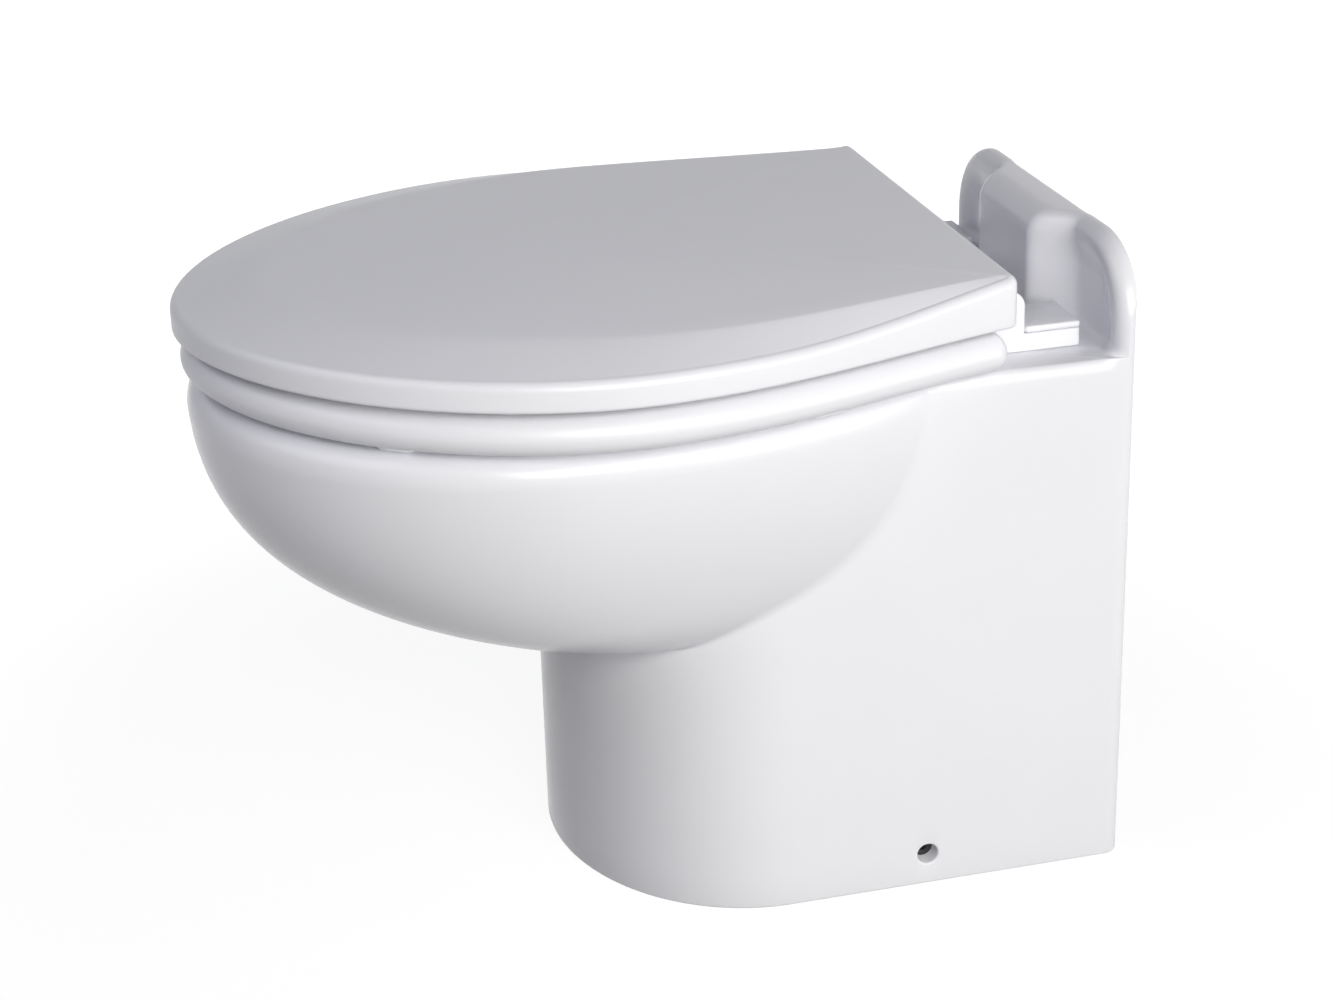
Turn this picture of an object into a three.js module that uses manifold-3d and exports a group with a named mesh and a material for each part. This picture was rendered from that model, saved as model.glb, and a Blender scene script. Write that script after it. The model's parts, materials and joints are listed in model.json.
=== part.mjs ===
// Electric marine toilet: ceramic pan, seat and lid on a shared hinge line, macerator pump and rinse valve.
// Millimetres, +Z up, the bowl's front points to -Y and the back of the pan lies in the plane y = 0.
import * as THREE from 'three';
import { mergeVertices } from 'three/addons/utils/BufferGeometryUtils.js';
import Module from 'manifold-3d';

const wasm = await Module();
wasm.setup();

// Driving dimensions

// gap is the clearance of touching pieces, play that of pieces that turn or slide in each other.
const fit = { gap: 0.3, play: 0.5, overrun: 4 };
const steps = { round: 16, hose: 12, small: 8, hex: 6 };

const skirt = {
  halfWidth: 125, straight: 196, nose: 109, height: 302, wall: 10, cornerRadius: 8, ceiling: 10,
    bandShare: 0.6,
};
const bowl = {
  base: 156, halfWidth: 172, front: 493, centre: 300, rear: 35,
  keelHalfWidth: 95, keelFront: 265, keelCentre: 240, keelRear: 190,
  lengthPower: 2.5, widthPower: 1.8, blend: 14, rimRadius: 8,
};
// side and nose are measured inwards from the bowl's outer edge.
const rim = { side: 42, nose: 37, centre: 295, rear: 122, depth: 30, undercut: 16 };
const basin = {
  side: 22, nose: 19, centre: 290, rear: 106, wall: 9, stepShares: [0.12, 0.82],
};
const sump = { radius: 38, centre: 213, floor: 114, spigotRadius: 25, spigotBore: 19, spigotLength: 15 };
const upstand = {
  height: 60, arch: 45, wing: 7, bead: 4.5, beadInner: 28, beadOuter: 10, edgeRadius: 8,
  blockHalfWidth: 58, blockDepth: 30, blockRadius: 22, cove: 21, fillet: 6, thinnest: 1,
};
const sideHole = { radius: 6, fromRear: 116.6, height: 18.7 };

// overhang and frontOverhang are how far the lid stands out over the bowl, backOverhang over the skirt.
const lid = {
  rear: 74, widest: 211.5, overhang: 17.5, frontOverhang: 4, backOverhang: 13, lift: 3, height: 27.5,
  drop: 15.5, crown: 6, bevel: 1, edgeRadius: 5, wall: 8, skin: 5, frontPower: 1.84, sidePower: 1.18,
  bandShare: 0.2, bandBackShare: 0.08, fallReachShare: 0.7, bandReachShare: 1.18, crownShares: [0.35, 0.75],
};
const seat = {
  inset: 3, lift: 3.3, thickness: 22.7, innerRadius: 8,
  opening: { side: 77.5, nose: 57, centre: 305, rear: 172 },
};
const hinge = {
  rise: 26, fromRear: 63.5, pinRadius: 3.5, knuckleRadius: 8.5, lugRadius: 8, postWidth: 12.5,
    lugWidth: 11,
  lugRise: 12, side: 98.5, footWidth: 36, footRear: 23, footHeight: 10, capHeight: 4, pinHead: 1.5,
    sideGap: 1,
};
const bolt = {
  radius: 3, headRadius: 7, headHeight: 4.5, fromRear: 38, tail: 6,
  nutRadius: 6.5, nutHeight: 6, washerRadius: 9, washerHeight: 1.6,
};
// A buffer's shares say how far along the lid its pairs sit; its inset lies inside the outline it follows.
const seatBuffer = {
  length: 22, width: 12, pegRadius: 2.5, pegHeight: 6, inset: 17, shares: [0.26, 0.765],
};
const lidBuffer = {
  length: 18, width: 7, pegRadius: 2, pegHeight: 6, bossWall: 3, inset: 20, shares: [0.2, 0.78],
};

const pump = {
  height: 52, face: 160, housingRadius: 42, housingLength: 40, shell: 4, inletBore: 19.5, inletLength: 17,
  portRadius: 19, portBore: 15, portSide: 23, portRise: 56,
};
const rotor = {
  shaftRadius: 4, sealWall: 4, hubRadius: 9, bladeThickness: 2.5, bladePitch: Math.PI / 6,
  wheelRadius: 33, wheelThickness: 4, vane: 9, vaneThickness: 3, vanes: 5,
};
const motor = {
  radius: 33, length: 92, flange: 6, capLength: 9, capRadius: 28, terminal: 12,
  boltRadius: 2.5, boltSide: 22, boltHeadRadius: 5, boltHeadHeight: 3,
};
const plinth = {
  halfWidth: 46, thickness: 3, footHeight: 6, footRadius: 9, strap: 2, strapWidth: 12, strapEar: 12,
  saddleWidth: 14, saddleHalf: 26.4, saddleHeight: 25, liftHalf: 19.8, liftHeight: 10,
    strapShares: [0.22, 0.78],
};
const elbow = { wall: 4.2, bend: 30, clampWidth: 8, clampThickness: 1.4 };
const outlet = {
  bend: 26, wall: 4, socket: 13.3, run: 41.6, jokerLength: 24, jokerRadius: 24, flange: 5,
  nozzleLength: 62, hoseRadius: 19, hoseBore: 15, ridge: 1.5, ridgeShares: [0.6, 0.82],
};
const valve = {
  side: 62, fromRear: 46, height: 186, bodyRadius: 15, tubeRadius: 12, tubeFront: 18, tubeRear: 17,
  coilRadius: 16, coilHeight: 30, coreRadius: 7, coreCap: 3, plungerRadius: 4.5, plungerLength: 14,
    travel: 3,
  barbRadius: 8, barbLength: 22, barbRidge: 1.2, portBore: 5, nutRadius: 12, nutHeight: 6,
    ridgeShares: [0.35, 0.7],
  plateWidth: 26, plateThickness: 2.5, screwRadius: 2, screwHead: 4, screwHeadHeight: 2.4, screwDepth: 6,
};
const rinse = {
  belowRim: 16, hoseWall: 2, spudWall: 3.5, spudLip: 3, lipReach: 4, intoSpud: 6, bendShare: 1.6,
  routeShares: [0.7, 0.22, 0.6, 0.5, 0.08, 0.95],
};
const bracket = {
  width: 30, depth: 44, height: 34, boss: 7.5, screwIn: 12, screwRadius: 3, screwHead: 6,
    screwHeadHeight: 3.5,
};

// Places that several pieces share

const hingeSides = [['right', 1], ['left', -1]];
const ledge = skirt.height;
const hingeZ = ledge + hinge.rise;
const seatBottom = ledge + seat.lift;
const seatTop = seatBottom + seat.thickness;
const lidBottom = seatTop + lid.lift;
const lidTop = lidBottom + lid.height;
const lidHalfWidth = bowl.halfWidth + lid.overhang;
const lidBackHalfWidth = skirt.halfWidth + lid.backOverhang;
const lidLength = bowl.front + lid.frontOverhang - lid.rear;
const hingeY = -hinge.fromRear;
const ceilingZ = ledge - skirt.ceiling;
const basinTop = ledge - rim.depth;
const rinseZ = basinTop - rinse.belowRim;
const axisY = -bowl.keelCentre;
const sumpY = -sump.centre;
const shellFoot = sump.floor - basin.wall;
const footTop = ledge + fit.gap + hinge.footHeight;
const boltX = hinge.side - hinge.footWidth / 2;
const postInner = hinge.side - hinge.postWidth;
const lidLugOuter = postInner - hinge.sideGap;
const seatLugOuter = lidLugOuter - hinge.lugWidth - hinge.sideGap;
const pumpFace = -pump.face;
const pumpBack = pumpFace + pump.housingLength;
const motorFront = pumpBack + motor.flange;
const motorBack = motorFront + motor.length;
const strapYs = plinth.strapShares.map((share) => motorFront + motor.length * share);
const plateTop = plinth.footHeight + plinth.thickness;
const valveY = -valve.fromRear;
const valveX = -valve.side;
const hoseOuter = valve.barbRadius + fit.gap + rinse.hoseWall;
const spudOuter = hoseOuter + fit.gap + rinse.spudWall;
const portY = (pumpFace + pumpBack) / 2;
const portTop = pump.height + pump.portRise;
const outletZ = portTop + outlet.bend + elbow.clampWidth;
const flangeY = portY + outlet.run;
const jokerY = flangeY + fit.gap;
const shelfTop = valve.height - valve.tubeRadius - fit.gap;
const bracketOuter = skirt.halfWidth - skirt.wall - fit.gap;
const bracketInner = bracketOuter - bracket.width;

// Geometry helpers

function outward(geometry) {
  // Faces turned out: the signed volume of a closed mesh is positive.
  const p = geometry.attributes.position;
  const index = geometry.index.array;
  const [a, b, c] = [new THREE.Vector3(), new THREE.Vector3(), new THREE.Vector3()];
  let volume = 0;
  for (let i = 0; i < index.length; i += 3) {
    a.fromBufferAttribute(p, index[i]);
    b.fromBufferAttribute(p, index[i + 1]);
    c.fromBufferAttribute(p, index[i + 2]);
    volume += a.dot(b.cross(c));
  }
  if (volume < 0) {
    for (let i = 0; i < index.length; i += 3) [index[i], index[i + 1]] = [index[i + 1], index[i]];
  }
  return geometry;
}

function welded(geometry) {
  const bare = geometry.clone();
  for (const name of Object.keys(bare.attributes)) {
    if (name !== 'position') bare.deleteAttribute(name);
  }
  const merged = mergeVertices(bare, 1e-4);
  const index = [];
  const source = merged.index.array;
  for (let i = 0; i < source.length; i += 3) {
    const [a, b, c] = [source[i], source[i + 1], source[i + 2]];
    if (a !== b && b !== c && c !== a) index.push(a, b, c);
  }
  merged.setIndex(index);
  return outward(merged);
}

function solid(geometry) {
  const g = welded(geometry);
  return new wasm.Manifold(new wasm.Mesh({
    numProp: 3,
    vertProperties: new Float32Array(g.attributes.position.array),
    triVerts: new Uint32Array(g.index.array),
  }));
}

function geometryOf(manifold) {
  const mesh = manifold.getMesh();
  const g = new THREE.BufferGeometry();
  const stride = mesh.numProp;
  const points = new Float32Array(mesh.vertProperties.length / stride * 3);
  for (let i = 0; i < points.length / 3; i += 1) {
    for (let k = 0; k < 3; k += 1) points[3 * i + k] = mesh.vertProperties[stride * i + k];
  }
  g.setAttribute('position', new THREE.BufferAttribute(points, 3));
  g.setIndex(Array.from(mesh.triVerts));
  return g;
}

// Radius of a faceted bore whose flats stay clear of a round of the given radius.
const around = (radius, count) => radius / Math.cos(Math.PI / count);

const join = (...parts) => parts.reduce((a, b) => a.add(b));
const cut = (body, ...tools) => tools.reduce((a, b) => a.subtract(b), body);

function loft(rings) {
  // Closed solid through rings of points, all with the same count; the ends are fans about their centres.
  const n = rings[0].length;
  const points = rings.flat();
  const index = [];
  for (let j = 0; j + 1 < rings.length; j += 1) {
    for (let i = 0; i < n; i += 1) {
      const [a, b] = [j * n + i, j * n + (i + 1) % n];
      index.push(a, b, b + n, a, b + n, a + n);
    }
  }
  for (const [ring, start, flip] of [[rings[0], 0, true], [rings.at(-1), (rings.length - 1) * n, false]]) {
    const centre = ring.reduce((s, p) => s.add(p), new THREE.Vector3()).divideScalar(n);
    const hub = points.length;
    points.push(centre);
    for (let i = 0; i < n; i += 1) {
      const [a, b] = [start + i, start + (i + 1) % n];
      index.push(...(flip ? [hub, b, a] : [hub, a, b]));
    }
  }
  const g = new THREE.BufferGeometry().setFromPoints(points);
  g.setIndex(index);
  return outward(g);
}

function closedGrid(rings) {
  // Ring of rings, closed both ways, as of a tube wall or a seat ring.
  const n = rings[0].length;
  const m = rings.length;
  const index = [];
  for (let j = 0; j < m; j += 1) {
    for (let i = 0; i < n; i += 1) {
      const [a, b] = [j * n + i, j * n + (i + 1) % n];
      const [c, d] = [((j + 1) % m) * n + (i + 1) % n, ((j + 1) % m) * n + i];
      index.push(a, b, c, a, c, d);
    }
  }
  const g = new THREE.BufferGeometry().setFromPoints(rings.flat());
  g.setIndex(index);
  return outward(g);
}

function block(x0, x1, y0, y1, z0, z1) {
  const g = new THREE.BoxGeometry(Math.abs(x1 - x0), Math.abs(y1 - y0), Math.abs(z1 - z0));
  return g.translate((x0 + x1) / 2, (y0 + y1) / 2, (z0 + z1) / 2);
}

// Turns a shape made along +Y about the origin so that it runs along the named axis.
function along(axis, geometry) {
  if (axis === 'x') return geometry.rotateZ(-Math.PI / 2);
  if (axis === 'z') return geometry.rotateX(Math.PI / 2);
  return geometry;
}

function rod(axis, radius, from, to, centre, count = steps.round) {
  // Cylinder along an axis, from one coordinate to another; centre holds the other two coordinates.
  const g = new THREE.CylinderGeometry(radius, radius, Math.abs(to - from), count);
  along(axis, g);
  const mid = (from + to) / 2;
  const [u, v] = centre;
  const at = { x: [mid, u, v], y: [u, mid, v], z: [u, v, mid] }[axis];
  return g.translate(...at);
}

function turned(axis, profile, at, count = steps.round) {
  // Revolved profile of [radius, height] pairs, closed on itself, about an axis through at.
  const points = profile.concat([profile[0]]).map(([r, h]) => new THREE.Vector2(r, h));
  const g = outward(welded(new THREE.LatheGeometry(points, count)));
  return along(axis, g).translate(...at);
}

function sleeve(axis, outer, inner, from, to, centre, count = steps.round) {
  const length = Math.abs(to - from);
  const [u, v] = centre;
  const start = Math.min(from, to);
  const at = { x: [start, u, v], y: [u, start, v], z: [u, v, start] }[axis];
  const bore = around(inner, count);
  return turned(axis, [[bore, 0], [outer, 0], [outer, length], [bore, length]], at, count);
}

function pipe(path, outer, inner, lengthSteps, count) {
  // Open hose wall along a curve: outer rings forward, inner rings back.
  const frames = path.computeFrenetFrames(lengthSteps, false);
  const ring = (k, radius) => {
    const centre = path.getPointAt(k / lengthSteps);
    return Array.from({ length: count }, (_, i) => {
      const a = 2 * Math.PI * i / count;
      return centre.clone()
        .addScaledVector(frames.normals[k], radius * Math.cos(a))
        .addScaledVector(frames.binormals[k], radius * Math.sin(a));
    });
  };
  const ks = Array.from({ length: lengthSteps + 1 }, (_, k) => k);
  const bore = around(inner, count);
  return closedGrid([...ks.map((k) => ring(k, outer)), ...ks.reverse().map((k) => ring(k, bore))]);
}

function bendPath(points, radius) {
  // Straight runs joined by round bends of one radius at the inner points.
  const path = new THREE.CurvePath();
  let from = points[0].clone();
  for (let i = 1; i + 1 < points.length; i += 1) {
    const corner = points[i];
    const back = points[i - 1].clone().sub(corner).normalize();
    const ahead = points[i + 1].clone().sub(corner).normalize();
    const half = back.angleTo(ahead) / 2;
    const reach = radius / Math.tan(half);
    const start = corner.clone().addScaledVector(back, reach);
    const end = corner.clone().addScaledVector(ahead, reach);
    path.add(new THREE.LineCurve3(from, start));
    path.add(new THREE.QuadraticBezierCurve3(start, corner.clone(), end));
    from = end;
  }
  path.add(new THREE.LineCurve3(from, points.at(-1).clone()));
  const samples = path.getSpacedPoints(40);
  return new THREE.CatmullRomCurve3(samples, false, 'chordal');
}

const smooth = (t) => {
  const s = Math.min(1, Math.max(0, t));
  return s * s * (3 - 2 * s);
};
const mix = (a, b, t) => a + (b - a) * t;

// Outlines

function skirtOutline(inset = 0) {
  // D-shaped plan of the pedestal: square back with small corners, straight sides, half-elliptic nose.
  const half = skirt.halfWidth - inset;
  const r = Math.max(skirt.cornerRadius - inset, fit.gap);
  const [sides, corners, back, nose] = [7, 2, 3, 26];
  const points = [];
  for (let i = 0; i < sides; i += 1) points.push([half, mix(-skirt.straight, -r - inset, i / sides)]);
  for (let i = 0; i <= corners; i += 1) {
    const a = (i / corners) * Math.PI / 2;
    points.push([half - r + r * Math.cos(a), -inset - r + r * Math.sin(a)]);
  }
  for (let i = 1; i < back; i += 1) points.push([mix(half - r, r - half, i / back), -inset]);
  for (let i = corners; i >= 0; i -= 1) {
    const a = (i / corners) * Math.PI / 2;
    points.push([r - half - r * Math.cos(a), -inset - r + r * Math.sin(a)]);
  }
  for (let i = 1; i <= sides; i += 1) points.push([-half, mix(-r - inset, -skirt.straight, i / sides)]);
  for (let i = 1; i < nose; i += 1) {
    const a = Math.PI + (i / nose) * Math.PI;
    points.push([half * Math.cos(a), -skirt.straight + (skirt.nose - inset) * Math.sin(a)]);
  }
  return points;
}

function ovalReach(oval, direction) {
  // Distance from the pan's axis to an egg of two half ellipses, along a direction in plan.
  const [dx, dy] = direction;
  const offset = axisY + oval.centre;
  for (const length of [oval.front - oval.centre, oval.centre - oval.rear]) {
    const a = (dx / oval.halfWidth) ** 2 + (dy / length) ** 2;
    const b = 2 * offset * dy / length ** 2;
    const c = (offset / length) ** 2 - 1;
    const reach = (-b + Math.sqrt(b * b - 4 * a * c)) / (2 * a);
    const ahead = offset + reach * dy < 0;
    if (ahead === (length === oval.front - oval.centre)) return reach;
  }
  return 0;
}

function bowlOval(u) {
  // Plan of the bowl's outside at height share u between its keel and its rim.
  const lengthwise = (1 - (1 - u) ** bowl.lengthPower) ** (1 / bowl.lengthPower);
  const widthwise = (1 - (1 - u) ** bowl.widthPower) ** (1 / bowl.widthPower);
  return {
    halfWidth: mix(bowl.keelHalfWidth, bowl.halfWidth, widthwise),
    front: mix(bowl.keelFront, bowl.front, lengthwise),
    centre: mix(bowl.keelCentre, bowl.centre, lengthwise),
    rear: mix(bowl.keelRear, bowl.rear, lengthwise),
  };
}

function softMax(a, b, blend) {
  const h = Math.max(blend - Math.abs(a - b), 0) / blend;
  return Math.max(a, b) + h * h * blend / 4;
}

function panRing(z, inset = 0) {
  // Outline of skirt and bowl together at one height, blended where they meet. An inset fades out
  // towards the back, where the upstand stands flush with the sides.
  const u = Math.min(1, Math.max(0, (z - bowl.base) / (ledge - bowl.base)));
  const oval = z > bowl.base ? bowlOval(u) : null;
  return skirtOutline().map(([x, y]) => {
    const own = Math.hypot(x, y - axisY);
    const direction = [x / own, (y - axisY) / own];
    const away = 1 - smooth((y + upstand.blockDepth) / (upstand.blockDepth - skirt.cornerRadius));
    const reach = (oval ? softMax(own, ovalReach(oval, direction), bowl.blend) : own) - inset * away;
    return new THREE.Vector3(reach * direction[0], axisY + reach * direction[1], z);
  });
}

function ovalRing(oval, z, count = 32) {
  return Array.from({ length: count }, (_, i) => {
    const a = 2 * Math.PI * i / count;
    const length = Math.sin(a) < 0 ? oval.front - oval.centre : oval.centre - oval.rear;
    return new THREE.Vector3(oval.halfWidth * Math.cos(a), -oval.centre + length * Math.sin(a), z);
  });
}

function basinOval(u, wall = 0) {
  // Inside of the basin at height share u: round sump below, egg above, with a smooth step between.
  const [from, to] = basin.stepShares;
  const t = smooth((u - from) / (to - from));
  return {
    halfWidth: mix(sump.radius, bowl.halfWidth - basin.side, t) + wall,
    front: mix(sump.centre + sump.radius, bowl.front - basin.nose, t) + wall,
    centre: mix(sump.centre, basin.centre, t),
    rear: mix(sump.centre - sump.radius, basin.rear, t) - wall,
  };
}

function lidOutline(inset = 0) {
  // Plan of the lid: straight back edge, bowed sides, super-elliptic front; counter-clockwise from above.
  const side = [];
  const rearShare = lid.widest / lidLength;
  const [sideCount, frontCount, backCount] = [8, 14, 4];
  for (let i = 0; i <= sideCount; i += 1) {
    const t = i / sideCount;
    const bow = Math.sin(Math.PI / 2 * t ** lid.sidePower);
    side.push([mix(lidBackHalfWidth, lidHalfWidth, bow), -lid.rear - lidLength * rearShare * t]);
  }
  for (let i = 1; i <= frontCount; i += 1) {
    const a = (i / frontCount) * Math.PI / 2;
    const power = 2 / lid.frontPower;
    const reach = lidLength * (1 - rearShare) * Math.sin(a) ** power;
    side.push([lidHalfWidth * Math.cos(a) ** power, -lid.rear - lidLength * rearShare - reach]);
  }
  side[side.length - 1][0] = 0;
  const right = side.slice().reverse();
  const left = side.slice(0, -1).map(([x, y]) => [-x, y]);
  const back = Array.from({ length: backCount - 1 }, (_, i) => [
    mix(lidBackHalfWidth, -lidBackHalfWidth, (i + 1) / backCount), -lid.rear,
  ]);
  return insetOutline(right.concat(back, left), inset);
}

function insetOutline(points, inset) {
  // Each point moves inwards along the bisector of its two edges.
  const n = points.length;
  return points.map(([x, y], i) => {
    const [ax, ay] = points[(i + n - 1) % n];
    const [bx, by] = points[(i + 1) % n];
    const before = new THREE.Vector2(y - ay, ax - x).normalize();
    const after = new THREE.Vector2(by - y, x - bx).normalize();
    const bisector = before.clone().add(after).normalize();
    const reach = inset / Math.max(bisector.dot(after), 0.5);
    return [x - bisector.x * reach, y - bisector.y * reach];
  });
}

// Pan

function upstandSolid() {
  // Depth field over the arched back: block in the middle, thinner wings with a bead, rolled edges.
  // Sections run across the width, each from the ledge up the front, over the crest and down the back.
  const [coveSteps, archSteps, rows] = [6, 7, 9];
  const lowShares = [0, 0.06, 0.13];
  const half = skirt.halfWidth;
  const top = ledge + upstand.height;
  const foot = ledge - skirt.ceiling / 2;
  const archX = half - upstand.arch;
  const archZ = top - upstand.arch;
  const crest = (x) => {
    const over = Math.max(Math.abs(x) - archX, 0);
    return archZ + Math.sqrt(Math.max(upstand.arch ** 2 - over ** 2, 0));
  };
  const depth = (x, z) => {
    const [over, rise] = [Math.abs(x) - archX, z - archZ];
    const corner = over > 0 && rise > 0;
    const side = half - Math.abs(x);
    const edge = corner ? upstand.arch - Math.hypot(over, rise) : Math.min(side, top - z);
    const inBlock = 1 - smooth((Math.abs(x) - upstand.blockHalfWidth + upstand.cove) / upstand.cove);
    const inward = (edge - upstand.beadOuter) / (upstand.beadInner - upstand.beadOuter);
    const bead = upstand.bead * (1 - smooth(inward));
    const radius = mix(upstand.edgeRadius, upstand.blockRadius, inBlock);
    const near = 1 - Math.min(Math.max(edge, 0) / radius, 1);
    const roll = radius * (1 - Math.sqrt(Math.max(1 - near * near, 0)));
    const low = 1 - Math.min(Math.max(z - ledge, 0) / upstand.fillet, 1);
    const fillet = upstand.fillet * smooth(side / upstand.beadOuter) * (1 - Math.sqrt(1 - low * low));
    return mix(upstand.wing + bead, upstand.blockDepth, inBlock) - roll + fillet;
  };
  const right = [
    ...Array.from({ length: coveSteps + 1 }, (_, i) => (
      upstand.blockHalfWidth - upstand.cove * (1 - i / coveSteps))),
    ...Array.from({ length: archSteps + 1 }, (_, i) => (
      archX + upstand.arch * Math.sin(Math.PI / 2 * i / archSteps))),
  ];
  const sections = [...right.map((x) => -x).reverse(), ...right].map((x) => {
    const front = Array.from({ length: rows + 1 }, (_, j) => {
      const rest = Math.max(j + 1 - lowShares.length, 0) / (rows + 1 - lowShares.length);
      const share = rest > 0 ? mix(lowShares.at(-1), 1, Math.sin(Math.PI / 2 * rest)) : lowShares[j];
      const z = mix(foot, crest(x), share);
      return new THREE.Vector3(x, -Math.max(depth(x, z), upstand.thinnest), z);
    });
    return [...front, new THREE.Vector3(x, 0, crest(x)), new THREE.Vector3(x, 0, foot)];
  });
  return loft(sections);
}

function panSolid() {
  const keel = bowl.base;
  const rise = ledge - keel;
  const shares = [0.006, 0.025, 0.06, 0.12, 0.2, 0.32, 0.48, 0.7];
  const levels = [0, keel * skirt.bandShare, keel, ...shares.map((u) => keel + rise * u)];
  const rings = levels.map((z) => panRing(z));
  for (let i = 0; i <= 3; i += 1) {
    const a = (i / 3) * Math.PI / 2;
    const fall = bowl.rimRadius * (1 - Math.sin(a));
    rings.push(panRing(ledge - fall, bowl.rimRadius * (1 - Math.cos(a))).map((p) => p.setZ(ledge - fall)));
  }
  const plan = (z) => skirtOutline().map(([x, y]) => new THREE.Vector3(x, y, z));
  const column = solid(loft([plan(0), plan(ledge + upstand.height + fit.overrun)]));
  const outside = join(solid(loft(rings)), solid(upstandSolid()).intersect(column));

  const inner = skirtOutline(skirt.wall);
  const room = (z0, z1, back) => loft([z0, z1].map((z) => inner.map(([x, y]) => (
    new THREE.Vector3(x, y > -skirt.wall - skirt.cornerRadius ? back : y, z)
  ))));
  const basinShares = [0, 0.14, 0.24, 0.33, 0.42, 0.52, 0.62, 0.75, 1];
  const basinRise = basinTop - sump.floor;
  const shellRings = basinShares.map((u) =>
    ovalRing(basinOval(u, basin.wall), mix(shellFoot, basinTop, u)));
  const shell = join(
    solid(loft([...shellRings, ovalRing(basinOval(1, basin.wall), ledge - skirt.ceiling / 2)])),
    solid(rod('z', sump.spigotRadius, shellFoot - sump.spigotLength, sump.floor, [0, sumpY])),
  );
  const hollow = solid(room(-fit.overrun, ceilingZ, fit.overrun)).subtract(shell);

  const basinRings = basinShares.map((u) => ovalRing(basinOval(u), sump.floor + basinRise * u));
  const mouthOval = {
    halfWidth: bowl.halfWidth - rim.side, front: bowl.front - rim.nose, centre: rim.centre, rear: rim.rear,
  };
  const mouth = [basinTop - rim.undercut / 2, ledge + fit.overrun].map((z) => ovalRing(mouthOval, z));
  const drain = rod('z', sump.spigotBore, 0, sump.floor + fit.overrun, [0, sumpY]);
  const rinseHole = rod('y', spudOuter + fit.gap, -basin.rear - fit.overrun,
    -basin.rear + basin.wall + fit.overrun,
    [0, rinseZ]);
  const cuts = [loft(basinRings), loft(mouth), drain, rinseHole].map(solid);
  for (const [, side] of hingeSides) {
    cuts.push(solid(rod('z', bolt.radius + fit.play, ceilingZ - fit.overrun, ledge + fit.overrun,
      [side * boltX, -bolt.fromRear], steps.small)));
    const wall = side * (skirt.halfWidth - skirt.wall - fit.overrun);
    cuts.push(solid(rod('x', sideHole.radius, wall, side * (skirt.halfWidth + fit.overrun),
      [-sideHole.fromRear, sideHole.height], steps.round)));
  }
  return cut(outside, hollow, ...cuts);
}

// Seat, lid and hinges

function lug(side, outer, extra) {
  const inner = outer - hinge.lugWidth;
  const eye = rod('x', hinge.lugRadius, side * inner, side * outer, [hingeY, hingeZ], steps.round);
  return join(solid(eye), solid(extra(side * inner, side * outer)));
}

function pinHole(side, from, to, clearance) {
  return solid(rod('x', hinge.pinRadius + clearance, side * from, side * to, [hingeY, hingeZ],
    steps.small));
}

function lidSolid() {
  // Crowned top, a crease, and a sloped border down to a rounded edge. Crown and border fade out towards
  // the straight back edge, the height sooner than the border's width.
  const outline = lidOutline();
  const towardsFront = (y, share) => Math.min(Math.max(-y - lid.rear, 0) / (lid.widest * share), 1);
  const fall = outline.map(([, y]) => Math.sin(Math.PI / 2 * towardsFront(y, lid.fallReachShare)));
  const centreY = -lid.rear - lid.widest;
  const ring = (inset, z, drop, share, crownShare = 0) => lidOutline(inset).map(([x, y], i) => {
    const crease = share * mix(lid.bandBackShare, 1, towardsFront(outline[i][1], lid.bandReachShare));
    const s = mix(crease, 1, crownShare);
    return new THREE.Vector3(mix(x, 0, s), mix(y, centreY, s), z - drop * fall[i]);
  });
  const crowned = (inset, z) => [0, ...lid.crownShares].map((share) => (
    ring(inset, z, lid.crown * (1 - share) ** 2, lid.bandShare, share)));
  const r = lid.edgeRadius;
  const eased = r * (1 - Math.SQRT1_2);
  const outer = [
    ring(lid.bevel, lidBottom, 0, 0), ring(0, lidBottom + lid.bevel, 0, 0),
    ring(0, lidTop - r, lid.drop, 0), ring(eased, lidTop - eased, lid.drop, 0),
    ring(r, lidTop, lid.drop, 0), ...crowned(r, lidTop),
  ];
  const inner = [
    ring(lid.wall, lidBottom - fit.overrun, 0, 0), ring(lid.wall, lidTop - lid.skin, lid.drop, 0),
    ...crowned(lid.wall, lidTop - lid.skin).slice(0, -1),
  ];
  // Round bosses stand from the lid's skin down to the buffers and take their pegs.
  const hollow = bufferPlaces(lidBuffer).reduce((room, [x, y]) => room.subtract(solid(rod(
    'z', lidBuffer.pegRadius + lidBuffer.bossWall, lidBottom, lidTop, [x, y], steps.small,
  ))), solid(loft(inner)));
  const shell = solid(loft(outer)).subtract(hollow);
  const lugs = hingeSides.map(([, side]) => lug(side, lidLugOuter, (a, b) => (
    block(a, b, -lid.rear - fit.overrun / 2, hingeY + hinge.lugRadius / 2,
      hingeZ + hinge.lugRadius / 4, lidBottom + hinge.lugRise)
  )));
  let body = join(shell, ...lugs);
  for (const [, side] of hingeSides) body = body.subtract(pinHole(side, seatLugOuter, postInner, fit.gap));
  for (const [x, y] of bufferPlaces(lidBuffer)) {
    body = body.subtract(solid(rod('z', lidBuffer.pegRadius, lidBottom - fit.overrun,
      lidBottom + lidBuffer.pegHeight + fit.gap, [x, y], steps.small)));
  }
  return body;
}

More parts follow.
